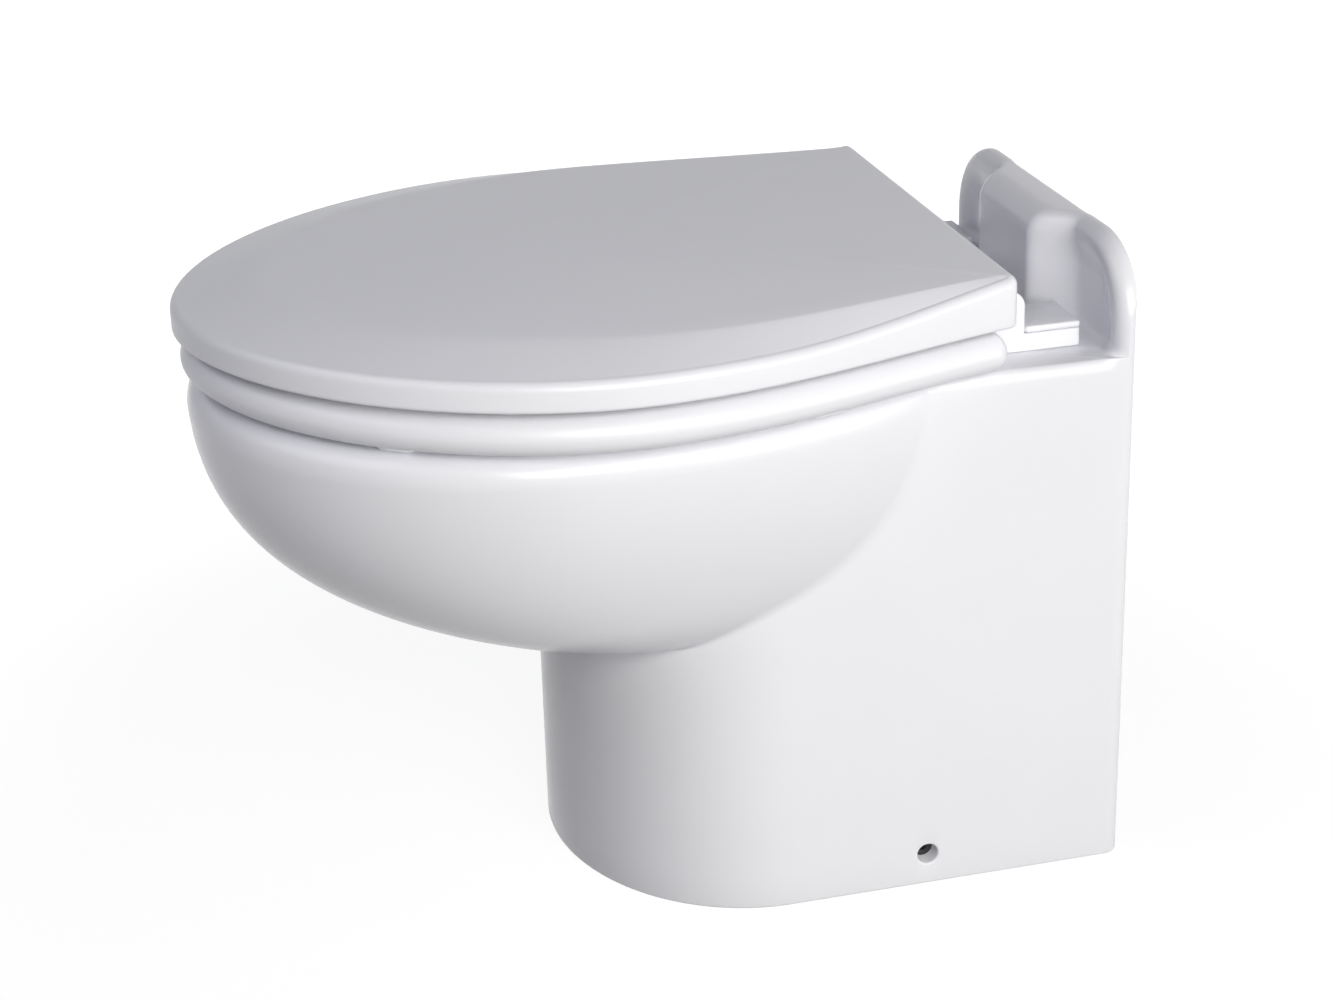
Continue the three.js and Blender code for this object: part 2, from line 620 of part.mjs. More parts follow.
function seatSolid() {
  const outer = lidOutline(seat.inset);
  const hole = {
    halfWidth: lidHalfWidth - seat.opening.side,
    front: lid.rear + lidLength - seat.opening.nose,
    centre: seat.opening.centre,
    rear: seat.opening.rear,
  };
  const reachOf = ([x, y]) => {
    const length = y < -hole.centre ? hole.front - hole.centre : hole.centre - hole.rear;
    const own = Math.hypot(x / hole.halfWidth, (y + hole.centre) / length);
    return [x / own, -hole.centre + (y + hole.centre) / own];
  };
  const inner = outer.map(reachOf);
  const outerRadius = seat.thickness / 2;
  const mid = seatBottom + outerRadius;
  const arc = 5;
  const rings = [];
  for (let i = 0; i <= arc; i += 1) {
    const a = -Math.PI / 2 + Math.PI * i / arc;
    const inset = seat.inset + outerRadius * (1 - Math.cos(a));
    rings.push(lidOutline(inset).map(([x, y]) => new THREE.Vector3(x, y, mid + outerRadius * Math.sin(a))));
  }
  for (let i = 0; i <= arc; i += 1) {
    const a = Math.PI / 2 - Math.PI * i / arc;
    const back = seat.innerRadius * (1 - Math.cos(a));
    rings.push(inner.map(([x, y]) => {
      const length = Math.hypot(x, y + hole.centre);
      const s = (length + back) / length;
      return new THREE.Vector3(x * s, -hole.centre + (y + hole.centre) * s,
        mid + outerRadius * Math.sin(a));
    }));
  }
  const ring = solid(closedGrid(rings));
  const lugs = hingeSides.map(([, side]) => lug(side, seatLugOuter, (a, b) => (
    block(a, b, -lid.rear - seat.inset - seat.thickness / 2, hingeY, hingeZ - hinge.lugRadius,
      hingeZ + hinge.pinRadius / 3)
  )));
  let body = join(ring, ...lugs);
  for (const [, side] of hingeSides) {
    body = body.subtract(pinHole(side, seatLugOuter - hinge.lugWidth - hinge.sideGap,
      lidLugOuter - hinge.lugWidth, fit.gap));
  }
  for (const [x, y] of bufferPlaces(seatBuffer, seat.inset)) {
    body = body.subtract(solid(rod('z', seatBuffer.pegRadius, seatBottom - fit.overrun,
      seatBottom + seatBuffer.pegHeight + fit.gap, [x, y], steps.small)));
  }
  return body;
}

function hingeBase(side) {
  const inner = hinge.side - hinge.footWidth;
  const foot = ledge + fit.gap;
  const front = hingeY - hinge.knuckleRadius;
  const x = (v) => side * v;
  const parts = join(
    solid(block(x(inner), x(hinge.side), front + hinge.knuckleRadius, -hinge.footRear, foot, footTop)),
    solid(block(x(postInner), x(hinge.side), front, hingeY + hinge.knuckleRadius, foot, hingeZ)),
    solid(rod('x', hinge.knuckleRadius, x(postInner), x(hinge.side), [hingeY, hingeZ])),
  );
  const pocket = rod('z', bolt.headRadius + fit.gap, footTop - bolt.headHeight - fit.gap,
    footTop + fit.overrun, [x(boltX), -bolt.fromRear]);
  const shank = rod('z', bolt.radius + fit.play, foot - fit.overrun, footTop, [x(boltX), -bolt.fromRear],
    steps.small);
  return cut(parts, solid(pocket), solid(shank),
    pinHole(side, postInner - fit.overrun, hinge.side - hinge.pinHead, fit.gap));
}

function hingeCap(side) {
  const inner = hinge.side - hinge.footWidth;
  const front = hingeY + hinge.knuckleRadius + fit.gap;
  return block(side * inner, side * hinge.side, front, -hinge.footRear, footTop + fit.gap,
    footTop + hinge.capHeight);
}

function hingePin(side) {
  const inner = seatLugOuter - hinge.lugWidth - hinge.pinHead - fit.gap;
  const outer = hinge.side - hinge.pinHead - fit.gap;
  const centre = [hingeY, hingeZ];
  return join(
    solid(rod('x', hinge.pinRadius, side * inner, side * outer, centre, steps.small)),
    solid(rod('x', hinge.pinRadius + hinge.pinHead, side * (inner - hinge.pinHead), side * inner, centre,
      steps.small)),
  );
}

function hingeBolt(side) {
  const at = [side * boltX, -bolt.fromRear];
  const headTop = footTop - fit.gap;
  const end = ceilingZ - bolt.washerHeight - bolt.nutHeight - 2 * fit.gap - bolt.tail;
  return join(
    solid(rod('z', bolt.headRadius, headTop - bolt.headHeight + fit.gap, headTop, at)),
    solid(rod('z', bolt.radius, end, headTop - bolt.headHeight / 2, at, steps.small)),
  );
}

function hingeWasher(side) {
  const top = ceilingZ - fit.gap;
  return sleeve('z', bolt.washerRadius, bolt.radius + fit.gap, top - bolt.washerHeight, top,
    [side * boltX, -bolt.fromRear], steps.small);
}

function hingeNut(side) {
  const top = ceilingZ - bolt.washerHeight - 2 * fit.gap;
  const at = [side * boltX, -bolt.fromRear];
  const bore = rod('z', bolt.radius + fit.gap, top - bolt.nutHeight - fit.overrun, top + fit.overrun, at,
    steps.small);
  return cut(solid(rod('z', bolt.nutRadius, top - bolt.nutHeight, top, at, steps.hex)), solid(bore));
}

function bufferPlaces(size, edgeInset = 0) {
  // Pairs of points on an inset outline, with the outline's direction there.
  const points = lidOutline(edgeInset + size.inset);
  const places = [];
  for (const share of size.shares) {
    const target = -lid.rear - lidLength * share;
    for (const side of [1, -1]) {
      let best = 0;
      points.forEach(([x, y], i) => {
        if (x * side > 0 && Math.abs(y - target) < Math.abs(points[best][1] - target)) best = i;
        if (points[best][0] * side <= 0 && x * side > 0) best = i;
      });
      const n = points.length;
      const [ax, ay] = points[(best + n - 1) % n];
      const [bx, by] = points[(best + 1) % n];
      places.push([points[best][0], points[best][1], Math.atan2(by - ay, bx - ax)]);
    }
  }
  return places;
}

function pad(size, from, to, place) {
  // Oval pad that fills the gap between two faces, with a round peg that enters the upper one.
  const [x, y, angle] = place;
  const [bottom, height] = [from + fit.gap, to - from - 2 * fit.gap];
  const half = size.length / 2 - size.width / 2;
  const shape = new THREE.Shape();
  shape.absarc(half, 0, size.width / 2, -Math.PI / 2, Math.PI / 2);
  shape.absarc(-half, 0, size.width / 2, Math.PI / 2, 3 * Math.PI / 2);
  shape.closePath();
  const g = new THREE.ExtrudeGeometry(shape, { depth: height, bevelEnabled: false, curveSegments: 4 });
  g.rotateZ(angle).translate(x, y, bottom);
  const peg = rod('z', size.pegRadius - fit.gap, bottom + height / 2, to + size.pegHeight, [x, y],
    steps.small);
  return join(solid(g), solid(peg));
}

// Pump

function pumpHousing() {
  const [y0, y1, z] = [pumpFace, pumpBack, pump.height];
  const body = turned('y', [
    [0, y0], [pump.housingRadius - pump.shell, y0], [pump.housingRadius, y0 + pump.shell],
    [pump.housingRadius, y1], [0, y1],
  ], [0, 0, z]);
  const inlet = rod('y', sump.spigotRadius, y0 - pump.inletLength, y0 + pump.shell, [0, z]);
  const port = rod('z', pump.portRadius, z, portTop, [pump.portSide, portY]);
  const room = rod('y', pump.housingRadius - pump.shell, y0 + pump.shell, y1 + fit.overrun, [0, z]);
  const inletBore = rod('y', pump.inletBore, y0 - pump.inletLength - fit.overrun,
    y0 + pump.shell + fit.overrun, [0, z]);
  const portBore = rod('z', pump.portBore, z, portTop + fit.overrun, [pump.portSide, portY]);
  const bodies = join(solid(body), solid(inlet), solid(port));
  return cut(bodies, solid(room), solid(inletBore), solid(portBore));
}

function backPlate() {
  const [y0, y1] = [pumpBack + fit.gap, pumpBack + motor.flange - fit.gap];
  const plate = rod('y', pump.housingRadius, y0, y1, [0, pump.height]);
  const spigot = rod('y', pump.housingRadius - pump.shell - fit.gap, y0 - motor.flange, y0 + fit.gap,
    [0, pump.height]);
  const bore = rod('y', rotor.shaftRadius + rotor.sealWall + fit.gap, y0 - motor.flange - fit.overrun,
    y1 + fit.overrun, [0, pump.height]);
  return cut(join(solid(plate), solid(spigot)), solid(bore));
}

function shaftSeal() {
  return sleeve('y', rotor.shaftRadius + rotor.sealWall, rotor.shaftRadius + fit.gap,
    pumpBack - motor.flange + fit.gap, pumpBack + motor.flange - fit.gap, [0, pump.height]);
}

function rotorShaft() {
  return rod('y', rotor.shaftRadius, pumpFace - pump.inletLength / 2, motorBack - motor.length / 4,
    [0, pump.height], steps.small);
}

function chopper() {
  // Hub with two cutter blades, pitched like a propeller, at the mouth of the housing.
  const y0 = pumpFace + pump.shell + fit.play - rotor.hubRadius;
  const y1 = pumpFace + pump.shell + fit.play;
  const reach = pump.inletBore - fit.play * 2;
  const parts = [solid(rod('y', rotor.hubRadius, y0, y1, [0, pump.height], steps.small))];
  for (const turn of [0, Math.PI]) {
    const blade = block(0, reach, -rotor.hubRadius / 2, rotor.hubRadius / 2, -rotor.bladeThickness / 2,
      rotor.bladeThickness / 2);
    blade.rotateX(rotor.bladePitch).rotateY(turn).translate(0, (y0 + y1) / 2, pump.height);
    parts.push(solid(blade));
  }
  const bore = rod('y', rotor.shaftRadius + fit.gap, y0 - fit.overrun, y1 + fit.overrun, [0, pump.height],
    steps.small);
  return cut(join(...parts), solid(bore));
}

function impeller() {
  const y0 = pumpFace + pump.shell + fit.play * 2 + rotor.vane;
  const y1 = y0 + rotor.wheelThickness;
  const wheel = [solid(rod('y', rotor.wheelRadius, y0, y1, [0, pump.height])),
    solid(rod('y', rotor.hubRadius, y0 - rotor.vane, y1, [0, pump.height], steps.small))];
  for (let i = 0; i < rotor.vanes; i += 1) {
    const vane = block(rotor.hubRadius / 2, rotor.wheelRadius - rotor.vaneThickness, -rotor.vane / 2,
      rotor.vane / 2 + fit.gap, -rotor.vaneThickness / 2, rotor.vaneThickness / 2);
    vane.rotateY(2 * Math.PI * i / rotor.vanes).translate(0, y0 - rotor.vane / 2, pump.height);
    wheel.push(solid(vane));
  }
  const bore = rod('y', rotor.shaftRadius + fit.gap, y0 - rotor.vane - fit.overrun, y1 + fit.overrun,
    [0, pump.height], steps.small);
  return cut(join(...wheel), solid(bore));
}

function motorCan() {
  const [y0, y1] = [pumpBack + motor.flange, motorBack];
  const can = turned('y', [
    [0, y0], [motor.radius - fit.overrun, y0], [motor.radius, y0 + fit.overrun],
    [motor.radius, y1], [0, y1],
  ], [0, 0, pump.height]);
  const bore = rod('y', rotor.shaftRadius + fit.gap, y0 - fit.overrun,
    motorBack - motor.length / 4 + fit.play, [0, pump.height], steps.small);
  const bolts = [-1, 1].map((side) =>
    solid(rod('y', motor.boltRadius, y1 - motor.capLength, y1 + fit.overrun,
    [side * motor.boltSide, pump.height], steps.small)));
  return cut(solid(can), solid(bore), ...bolts);
}

function motorCap() {
  const [y0, y1] = [motorBack + fit.gap, motorBack + motor.capLength];
  const cap = turned('y', [
    [0, y0], [motor.radius, y0], [motor.radius, (y0 + y1) / 2], [motor.capRadius, y1], [0, y1],
  ], [0, 0, pump.height]);
  const terminalBlock = block(-motor.terminal, motor.terminal, y0, y1, pump.height + motor.capRadius / 2,
    pump.height + motor.capRadius);
  const bolts = [-1, 1].map((side) =>
    solid(rod('y', motor.boltRadius + fit.gap, y0 - fit.overrun, y1 + fit.overrun,
    [side * motor.boltSide, pump.height], steps.small)));
  return cut(join(solid(cap), solid(terminalBlock)), ...bolts);
}

function motorBolt(side) {
  const [x, z] = [side * motor.boltSide, pump.height];
  const face = motorBack + motor.capLength + fit.gap;
  return join(
    solid(rod('y', motor.boltRadius - fit.gap, motorBack - motor.capLength + fit.play, face + fit.gap,
      [x, z], steps.small)),
    solid(rod('y', motor.boltHeadRadius, face, face + motor.boltHeadHeight, [x, z], steps.small)),
  );
}

function basePlate() {
  const [front, back] = [pumpFace + fit.overrun, motorBack];
  const plate = solid(block(-plinth.halfWidth, plinth.halfWidth, front, back, plinth.footHeight, plateTop));
  const saddles = strapYs.map((y) =>
    solid(block(-plinth.saddleHalf, plinth.saddleHalf, y - plinth.saddleWidth / 2,
    y + plinth.saddleWidth / 2, plateTop - fit.gap, plateTop + plinth.saddleHeight)));
  const tab = solid(block(valveX - valve.plateWidth / 2, -plinth.halfWidth + fit.overrun,
    valveY - valve.plateWidth / 2, valveY + valve.plateWidth / 2, plinth.footHeight, plateTop));
  const lift = solid(block(-plinth.liftHalf, plinth.liftHalf, front, front + plinth.saddleWidth,
    plateTop - fit.gap, plateTop + plinth.liftHeight));
  const bed = solid(rod('y', motor.radius + fit.gap, pumpBack, back + fit.overrun, [0, pump.height]));
  const well = solid(rod('y', pump.housingRadius + fit.gap, front - fit.overrun, pumpBack + fit.gap,
    [0, pump.height]));
  return cut(join(plate, ...saddles, lift, tab), bed, well);
}

function motorStrap(y) {
  // Band over the motor with an ear down to the plate on each side.
  const inner = motor.radius + fit.gap;
  const outer = inner + plinth.strap;
  const [y0, y1] = [y - plinth.strapWidth / 2, y + plinth.strapWidth / 2];
  const z = pump.height;
  const foot = plateTop + fit.gap;
  const ring = solid(sleeve('y', outer, inner, y0, y1,
    [0, z])).subtract(solid(block(-outer - fit.overrun, outer + fit.overrun, y0 - fit.overrun,
    y1 + fit.overrun, foot - fit.overrun, z)));
  const legs = [-1, 1].flatMap((side) => [
    solid(block(side * inner, side * outer, y0, y1, foot, z + fit.overrun)),
    solid(block(side * inner, side * (inner + plinth.strapEar), y0, y1, foot, foot + plinth.strap)),
  ]);
  const clear = solid(rod('y', inner, y0 - fit.overrun, y1 + fit.overrun, [0, z]));
  return join(ring, ...legs).subtract(clear);
}

function rubberFoot(x, y) {
  const height = plinth.footHeight - fit.gap;
  return rod('z', plinth.footRadius, 0, height, [x, y], steps.small);
}

function bowlElbow() {
  const top = shellFoot - fit.gap - elbow.clampThickness;
  const path = bendPath([
    new THREE.Vector3(0, sumpY, top),
    new THREE.Vector3(0, sumpY, pump.height),
    new THREE.Vector3(0, pumpFace - fit.gap - elbow.clampThickness, pump.height),
  ], elbow.bend);
  const bore = sump.spigotRadius + fit.gap;
  return pipe(path, bore + elbow.wall, bore, 8, steps.hose);
}

function elbowClamp(axis, at, centre) {
  // Band around the end of the rubber elbow; the sump's spigot and the pump's inlet have one radius.
  const inner = sump.spigotRadius + elbow.wall + 2 * fit.gap;
  const [from, to] = [at - elbow.clampWidth / 2, at + elbow.clampWidth / 2];
  return sleeve(axis, inner + elbow.clampThickness, inner, from, to, centre);
}

function dischargeElbow() {
  // Rigid bend from the pump's port to the back, with a flange for the non-return valve.
  const start = portTop - outlet.socket;
  const bore = pump.portRadius + fit.gap;
  const path = bendPath([
    new THREE.Vector3(pump.portSide, portY, start),
    new THREE.Vector3(pump.portSide, portY, outletZ),
    new THREE.Vector3(pump.portSide, flangeY, outletZ),
  ], outlet.bend);
  const tube = solid(pipe(path, bore + outlet.wall, bore, 7, steps.hose));
  const flange = solid(sleeve('y', outlet.jokerRadius + outlet.flange, bore + outlet.wall / 2,
    flangeY - outlet.flange, flangeY, [pump.portSide, outletZ]));
  return join(tube, flange);
}

function jokerValve() {
  // Duckbill: a collar between the flanges, then a bill that narrows to a slit.
  const collar = sleeve('y', outlet.jokerRadius + outlet.flange, outlet.hoseBore, jokerY,
    jokerY + outlet.flange, [pump.portSide, outletZ]);
  const count = steps.round;
  const ring = (y, half, height) => Array.from({ length: count }, (_, i) => {
    const a = 2 * Math.PI * i / count;
    return new THREE.Vector3(pump.portSide + half * Math.cos(a), y, outletZ + height * Math.sin(a));
  });
  const wall = outlet.wall / 2;
  const [near, far] = [jokerY + outlet.flange / 2, jokerY + outlet.jokerLength];
  const bore = outlet.hoseBore;
  const bill = closedGrid([
    ring(near, bore + wall, bore + wall), ring(far, bore + wall, wall + fit.gap),
    ring(far, bore, fit.gap), ring(near, bore, bore),
  ]);
  return join(solid(collar), solid(bill));
}

function outletNozzle() {
  const y0 = jokerY + outlet.flange + fit.gap;
  const y1 = y0 + outlet.nozzleLength;
  const r = outlet.hoseRadius;
  const room = outlet.hoseBore + outlet.wall;
  const chamber = outlet.jokerLength;
  const barbs = outlet.ridgeShares.flatMap((share) => {
    const at = mix(y0, y1, share);
    return [[r, at], [r + outlet.ridge, at], [r, at + outlet.flange]];
  });
  return turned('y', [
    [room, y0], [outlet.jokerRadius + outlet.flange, y0],
      [outlet.jokerRadius + outlet.flange, y0 + outlet.flange],
    [room + outlet.wall, y0 + outlet.flange], [room + outlet.wall, y0 + chamber], ...barbs, [r, y1],
    [outlet.hoseBore, y1], [outlet.hoseBore, y0 + chamber + outlet.wall], [room, y0 + chamber],
  ], [pump.portSide, 0, outletZ]);
}

// Rinse valve and hose

function valveBody() {
  // Cross tube along Y with a round deck for the coil and an outlet nipple to the inner side.
  const [front, back] = [valveY - valve.tubeFront, valveY + valve.tubeRear];
  const z = valve.height;
  const tip = valveX + valve.bodyRadius + valve.barbLength;
  const tube = rod('y', valve.tubeRadius, front, back, [valveX, z]);
  const deck = rod('z', valve.bodyRadius, z, z + valve.bodyRadius, [valveX, valveY]);
  const nipple = rod('x', valve.barbRadius, valveX, tip, [valveY, z], steps.small);
  const inletBore = rod('y', valve.portBore, valveY, back + fit.overrun, [valveX, z], steps.small);
  const outletBore = rod('x', valve.portBore, valveX, tip + fit.overrun, [valveY, z], steps.small);
  const well = rod('z', valve.plungerRadius + fit.play, z, z + valve.bodyRadius + fit.overrun,
    [valveX, valveY], steps.small);
  const screwHole = rod('z', valve.screwRadius + fit.gap, z - valve.tubeRadius - fit.overrun,
    z - valve.tubeRadius + valve.screwDepth + fit.gap, [valveX, valveY], steps.small);
  return cut(join(solid(tube), solid(deck), solid(nipple)),
    ...[inletBore, outletBore, well, screwHole].map(solid));
}

function valveCoil() {
  const z0 = valve.height + valve.bodyRadius + fit.gap;
  const z1 = z0 + valve.coilHeight;
  const bore = valve.plungerRadius + fit.play;
  const roof = valve.height + valve.portBore + valve.plungerLength + valve.travel + 2 * fit.play;
  return turned('z', [
    [bore, z0], [valve.coilRadius, z0], [valve.coilRadius, z1], [valve.coreRadius, z1],
    [valve.coreRadius, z1 + valve.coreCap], [0, z1 + valve.coreCap], [0, roof], [bore, roof],
  ], [valveX, valveY, 0]);
}

function valvePlunger() {
  const bottom = valve.height + valve.portBore + fit.gap;
  return rod('z', valve.plungerRadius, bottom, bottom + valve.plungerLength, [valveX, valveY], steps.small);
}

function inletBarb() {
  // Threaded inlet tail towards the open back, with two hose ridges.
  const y0 = valveY + valve.tubeRear + fit.gap;
  const y1 = y0 + valve.nutHeight;
  const end = y0 + valve.barbLength;
  const r = valve.barbRadius;
  const ridges = valve.ridgeShares.flatMap((share) => {
    const at = mix(y1, end, share);
    return [[r, at], [r + valve.barbRidge, at], [r, at + 3 * valve.barbRidge]];
  });
  return turned('y', [
    [valve.portBore, y0], [valve.nutRadius, y0], [valve.nutRadius, y1], [r, y1], ...ridges, [r, end],
      [valve.portBore, end],
  ], [valveX, 0, valve.height], steps.small);
}

function valveBracket() {
  // Strip folded twice: foot on the pump's plate, upright, and a shelf under the valve.
  const t = valve.plateThickness;
  const half = valve.plateWidth / 2;
  const [y0, y1] = [valveY - half, valveY + half];
  const outer = valveX - half;
  const foot = plateTop + fit.gap;
  const parts = [
    block(outer, outer + t, y0, y1, foot, shelfTop),
    block(outer, outer + half, y0, y1, foot, foot + t),
    block(outer, valveX + half, y0, y1, shelfTop - t, shelfTop),
  ].map(solid);
  const hole = rod('z', valve.screwRadius + fit.gap, shelfTop - t - fit.overrun, shelfTop + fit.overrun,
    [valveX, valveY], steps.small);
  return cut(join(...parts), solid(hole));
}

function valveScrew() {
  const under = shelfTop - valve.plateThickness - fit.gap;
  const at = [valveX, valveY];
  return join(
    solid(rod('z', valve.screwRadius, under - fit.gap, shelfTop + fit.gap + valve.screwDepth, at,
      steps.small)),
    solid(rod('z', valve.screwHead, under - valve.screwHeadHeight, under, at, steps.small)),
  );
}

function rinseSpud() {
  // Grommet in the basin's back wall, with a lip on each side.
  const wallFace = -basin.rear + basin.wall;
  const bore = around(hoseOuter + fit.gap, steps.round);
  const lip = spudOuter + rinse.lipReach;
  return turned('y', [
    [bore, wallFace - basin.wall / 2], [spudOuter, wallFace - basin.wall / 2],
      [spudOuter, wallFace + fit.gap],
    [lip, wallFace + fit.gap], [lip, wallFace + fit.gap + rinse.spudLip],
      [bore, wallFace + fit.gap + rinse.spudLip],
  ], [0, 0, rinseZ]);
}

function rinseHose() {
  // Runs back out of the grommet, drops behind the basin and turns onto the valve's nipple.
  const start = -basin.rear + basin.wall - rinse.intoSpud / 2;
  const drop = rinseZ - valve.height;
  const bend = rinse.bendShare * hoseOuter;
  const body = valveX + valve.bodyRadius + fit.gap;
  const [outShare, fallShare, lowShare, turnShare, riseShare, tipShare] = rinse.routeShares;
  const path = new THREE.CatmullRomCurve3([
    new THREE.Vector3(0, start, rinseZ),
    new THREE.Vector3(0, start + rinse.intoSpud + rinse.spudLip, rinseZ),
    new THREE.Vector3(0, start + bend, rinseZ - fit.gap),
    new THREE.Vector3(0, mix(start + bend, valveY, outShare), rinseZ - drop * fallShare),
    new THREE.Vector3(0, valveY, rinseZ - drop * lowShare),
    new THREE.Vector3(-bend * turnShare, valveY, valve.height + drop * riseShare),
    new THREE.Vector3(body + valve.barbLength * tipShare, valveY, valve.height),
    new THREE.Vector3(body + 2 * fit.play, valveY, valve.height),
  ], false, 'centripetal');
  return pipe(path, hoseOuter, valve.barbRadius + fit.gap, 12, steps.hose - 2);
}

// Floor fixings behind the side holes

function floorBracket(side) {
  const [outer, inner] = [bracketOuter, bracketInner];
  const [front, back] = [-sideHole.fromRear - bracket.depth / 2, -sideHole.fromRear + bracket.depth / 2];
  const shape = new THREE.Shape();
  shape.moveTo(outer, 0);
  shape.lineTo(outer, bracket.height);
  shape.lineTo(outer - bracket.boss, bracket.height);
  shape.quadraticCurveTo(outer - bracket.boss, bracket.boss, inner, bracket.boss);
  shape.lineTo(inner, 0);
  shape.closePath();
  const g = new THREE.ExtrudeGeometry(shape,
    { depth: bracket.depth, bevelEnabled: false, curveSegments: 6 });
  g.rotateX(Math.PI / 2).translate(0, back, 0);
  if (side < 0) g.scale(-1, 1, 1);
  const x = side * (inner + bracket.screwIn);
  const down = rod('z', bracket.screwRadius + fit.gap, -fit.overrun, bracket.height,
    [x, -sideHole.fromRear], steps.small);
  const across = rod('x', bracket.screwRadius, side * (outer - 2 * bracket.boss),
    side * (outer + fit.overrun), [-sideHole.fromRear, sideHole.height], steps.small);
  return cut(solid(outward(welded(g))), solid(down), solid(across),
    solid(block(side * inner, side * (outer - bracket.boss), front - fit.overrun, back + fit.overrun,
    bracket.boss, bracket.height / 2)));
}

function floorScrew(side) {
  const x = side * (bracketInner + bracket.screwIn);
  const at = [x, -sideHole.fromRear];
  const seatZ = bracket.boss + fit.gap;
  return join(
    solid(rod('z', bracket.screwRadius, 0, seatZ + fit.gap, at, steps.small)),
    solid(rod('z', bracket.screwHead, seatZ, seatZ + bracket.screwHeadHeight, at, steps.hex)),
  );
}

// Assembly

const finishes = {
  ceramic: { color: 0xf1f1f4, roughness: 0.12, metalness: 0 },
  seatResin: { color: 0xeeeef2, roughness: 0.25, metalness: 0 },
  whitePlastic: { color: 0xf2f2f3, roughness: 0.35, metalness: 0 },
  paleRubber: { color: 0xe6e6e6, roughness: 0.7, metalness: 0 },
  blackRubber: { color: 0x242527, roughness: 0.75, metalness: 0 },
  blackPlastic: { color: 0x2b2d30, roughness: 0.5, metalness: 0 },
  greyPlastic: { color: 0x8d9196, roughness: 0.5, metalness: 0 },
  steel: { color: 0xb9bcc0, roughness: 0.3, metalness: 1 },
  paintedSteel: { color: 0xdcdfe2, roughness: 0.4, metalness: 0.2 },
  brass: { color: 0xb08d4a, roughness: 0.35, metalness: 1 },
};

// The whole part stands with its origin on the floor, under the middle of its plan.
const part = new THREE.Group();
const toilet = new THREE.Group();
toilet.position.y = (lid.rear + lidLength) / 2;
part.add(toilet);

function add(name, shape, finish, parent = toilet) {
  const source = shape.isBufferGeometry ? welded(shape) : geometryOf(shape);
  const geometry = source.clone();
  geometry.computeVertexNormals();
  const mesh = new THREE.Mesh(geometry, new THREE.MeshStandardMaterial(finishes[finish]));
  mesh.name = name;
  parent.add(mesh);
  return mesh;
}

add('pan', panSolid(), 'ceramic');
add('seat', seatSolid(), 'seatResin');
add('lid', lidSolid(), 'seatResin');

for (const [name, side] of hingeSides) {
  add(`hinge_base_${name}`, hingeBase(side), 'whitePlastic');
  add(`hinge_cap_${name}`, hingeCap(side), 'whitePlastic');
  add(`hinge_pin_${name}`, hingePin(side), 'steel');
  add(`hinge_bolt_${name}`, hingeBolt(side), 'steel');
  add(`hinge_washer_${name}`, hingeWasher(side), 'steel');
  add(`hinge_nut_${name}`, hingeNut(side), 'steel');
}

const bufferNames = ['rear_right', 'rear_left', 'front_right', 'front_left'];
bufferPlaces(seatBuffer, seat.inset).forEach((place, i) => {
  add(`seat_buffer_${bufferNames[i]}`, pad(seatBuffer, ledge, seatBottom, place), 'whitePlastic');
});
bufferPlaces(lidBuffer).forEach((place, i) => {
  add(`lid_buffer_${bufferNames[i]}`, pad(lidBuffer, seatTop, lidBottom, place), 'paleRubber');
});

for (const [name, side] of hingeSides) {
  add(`floor_bracket_${name}`, floorBracket(side), 'blackPlastic');
  add(`floor_screw_${name}`, floorScrew(side), 'steel');
}

add('bowl_outlet_elbow', bowlElbow(), 'blackRubber');
add('elbow_clamp_upper', elbowClamp('z', shellFoot - sump.spigotLength / 2, [0, sumpY]), 'steel');
add('elbow_clamp_lower', elbowClamp('y', pumpFace - pump.inletLength / 2, [0, pump.height]), 'steel');
add('macerator_housing', pumpHousing(), 'blackPlastic');
add('pump_back_plate', backPlate(), 'blackPlastic');
add('shaft_seal', shaftSeal(), 'blackRubber');
add('rotor_shaft', rotorShaft(), 'steel');
add('chopper_blades', chopper(), 'steel');
add('impeller', impeller(), 'greyPlastic');
add('motor_can', motorCan(), 'paintedSteel');
add('motor_end_cap', motorCap(), 'blackPlastic');
for (const [name, side] of hingeSides) add(`motor_bolt_${name}`, motorBolt(side), 'steel');
add('pump_base_plate', basePlate(), 'steel');
add('motor_strap_front', motorStrap(strapYs[0]), 'steel');
add('motor_strap_rear', motorStrap(strapYs[1]), 'steel');
for (const [name, side] of hingeSides) {
  const x = side * (plinth.halfWidth - plinth.footRadius);
  add(`rubber_foot_front_${name}`, rubberFoot(x, pumpFace + plinth.footRadius * 2), 'blackRubber');
  add(`rubber_foot_rear_${name}`, rubberFoot(x, motorBack - plinth.footRadius * 1.5), 'blackRubber');
}
add('discharge_elbow', dischargeElbow(), 'blackPlastic');
add('joker_valve', jokerValve(), 'blackRubber');
add('outlet_nozzle', outletNozzle(), 'blackPlastic');
add('rinse_spud', rinseSpud(), 'paleRubber');
add('rinse_hose', rinseHose(), 'greyPlastic');
add('valve_body', valveBody(), 'blackPlastic');
add('valve_coil', valveCoil(), 'blackPlastic');
add('valve_plunger', valvePlunger(), 'steel');
add('inlet_barb', inletBarb(), 'brass');
add('valve_bracket', valveBracket(), 'steel');
add('valve_screw', valveScrew(), 'steel');

export default part;
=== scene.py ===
"""Compact marine toilet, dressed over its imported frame.

Lengths are metres. Plans are written with y measured from the pan's back face, forward being negative,
and every mesh is moved by BACK when it is made, so that it lands in the frame. Right is the side at +x.
"""

import json
import math

import bmesh
import bpy
import numpy as np
from bpy.props import FloatProperty, FloatVectorProperty, IntProperty, PointerProperty
from mathutils import Matrix, Vector


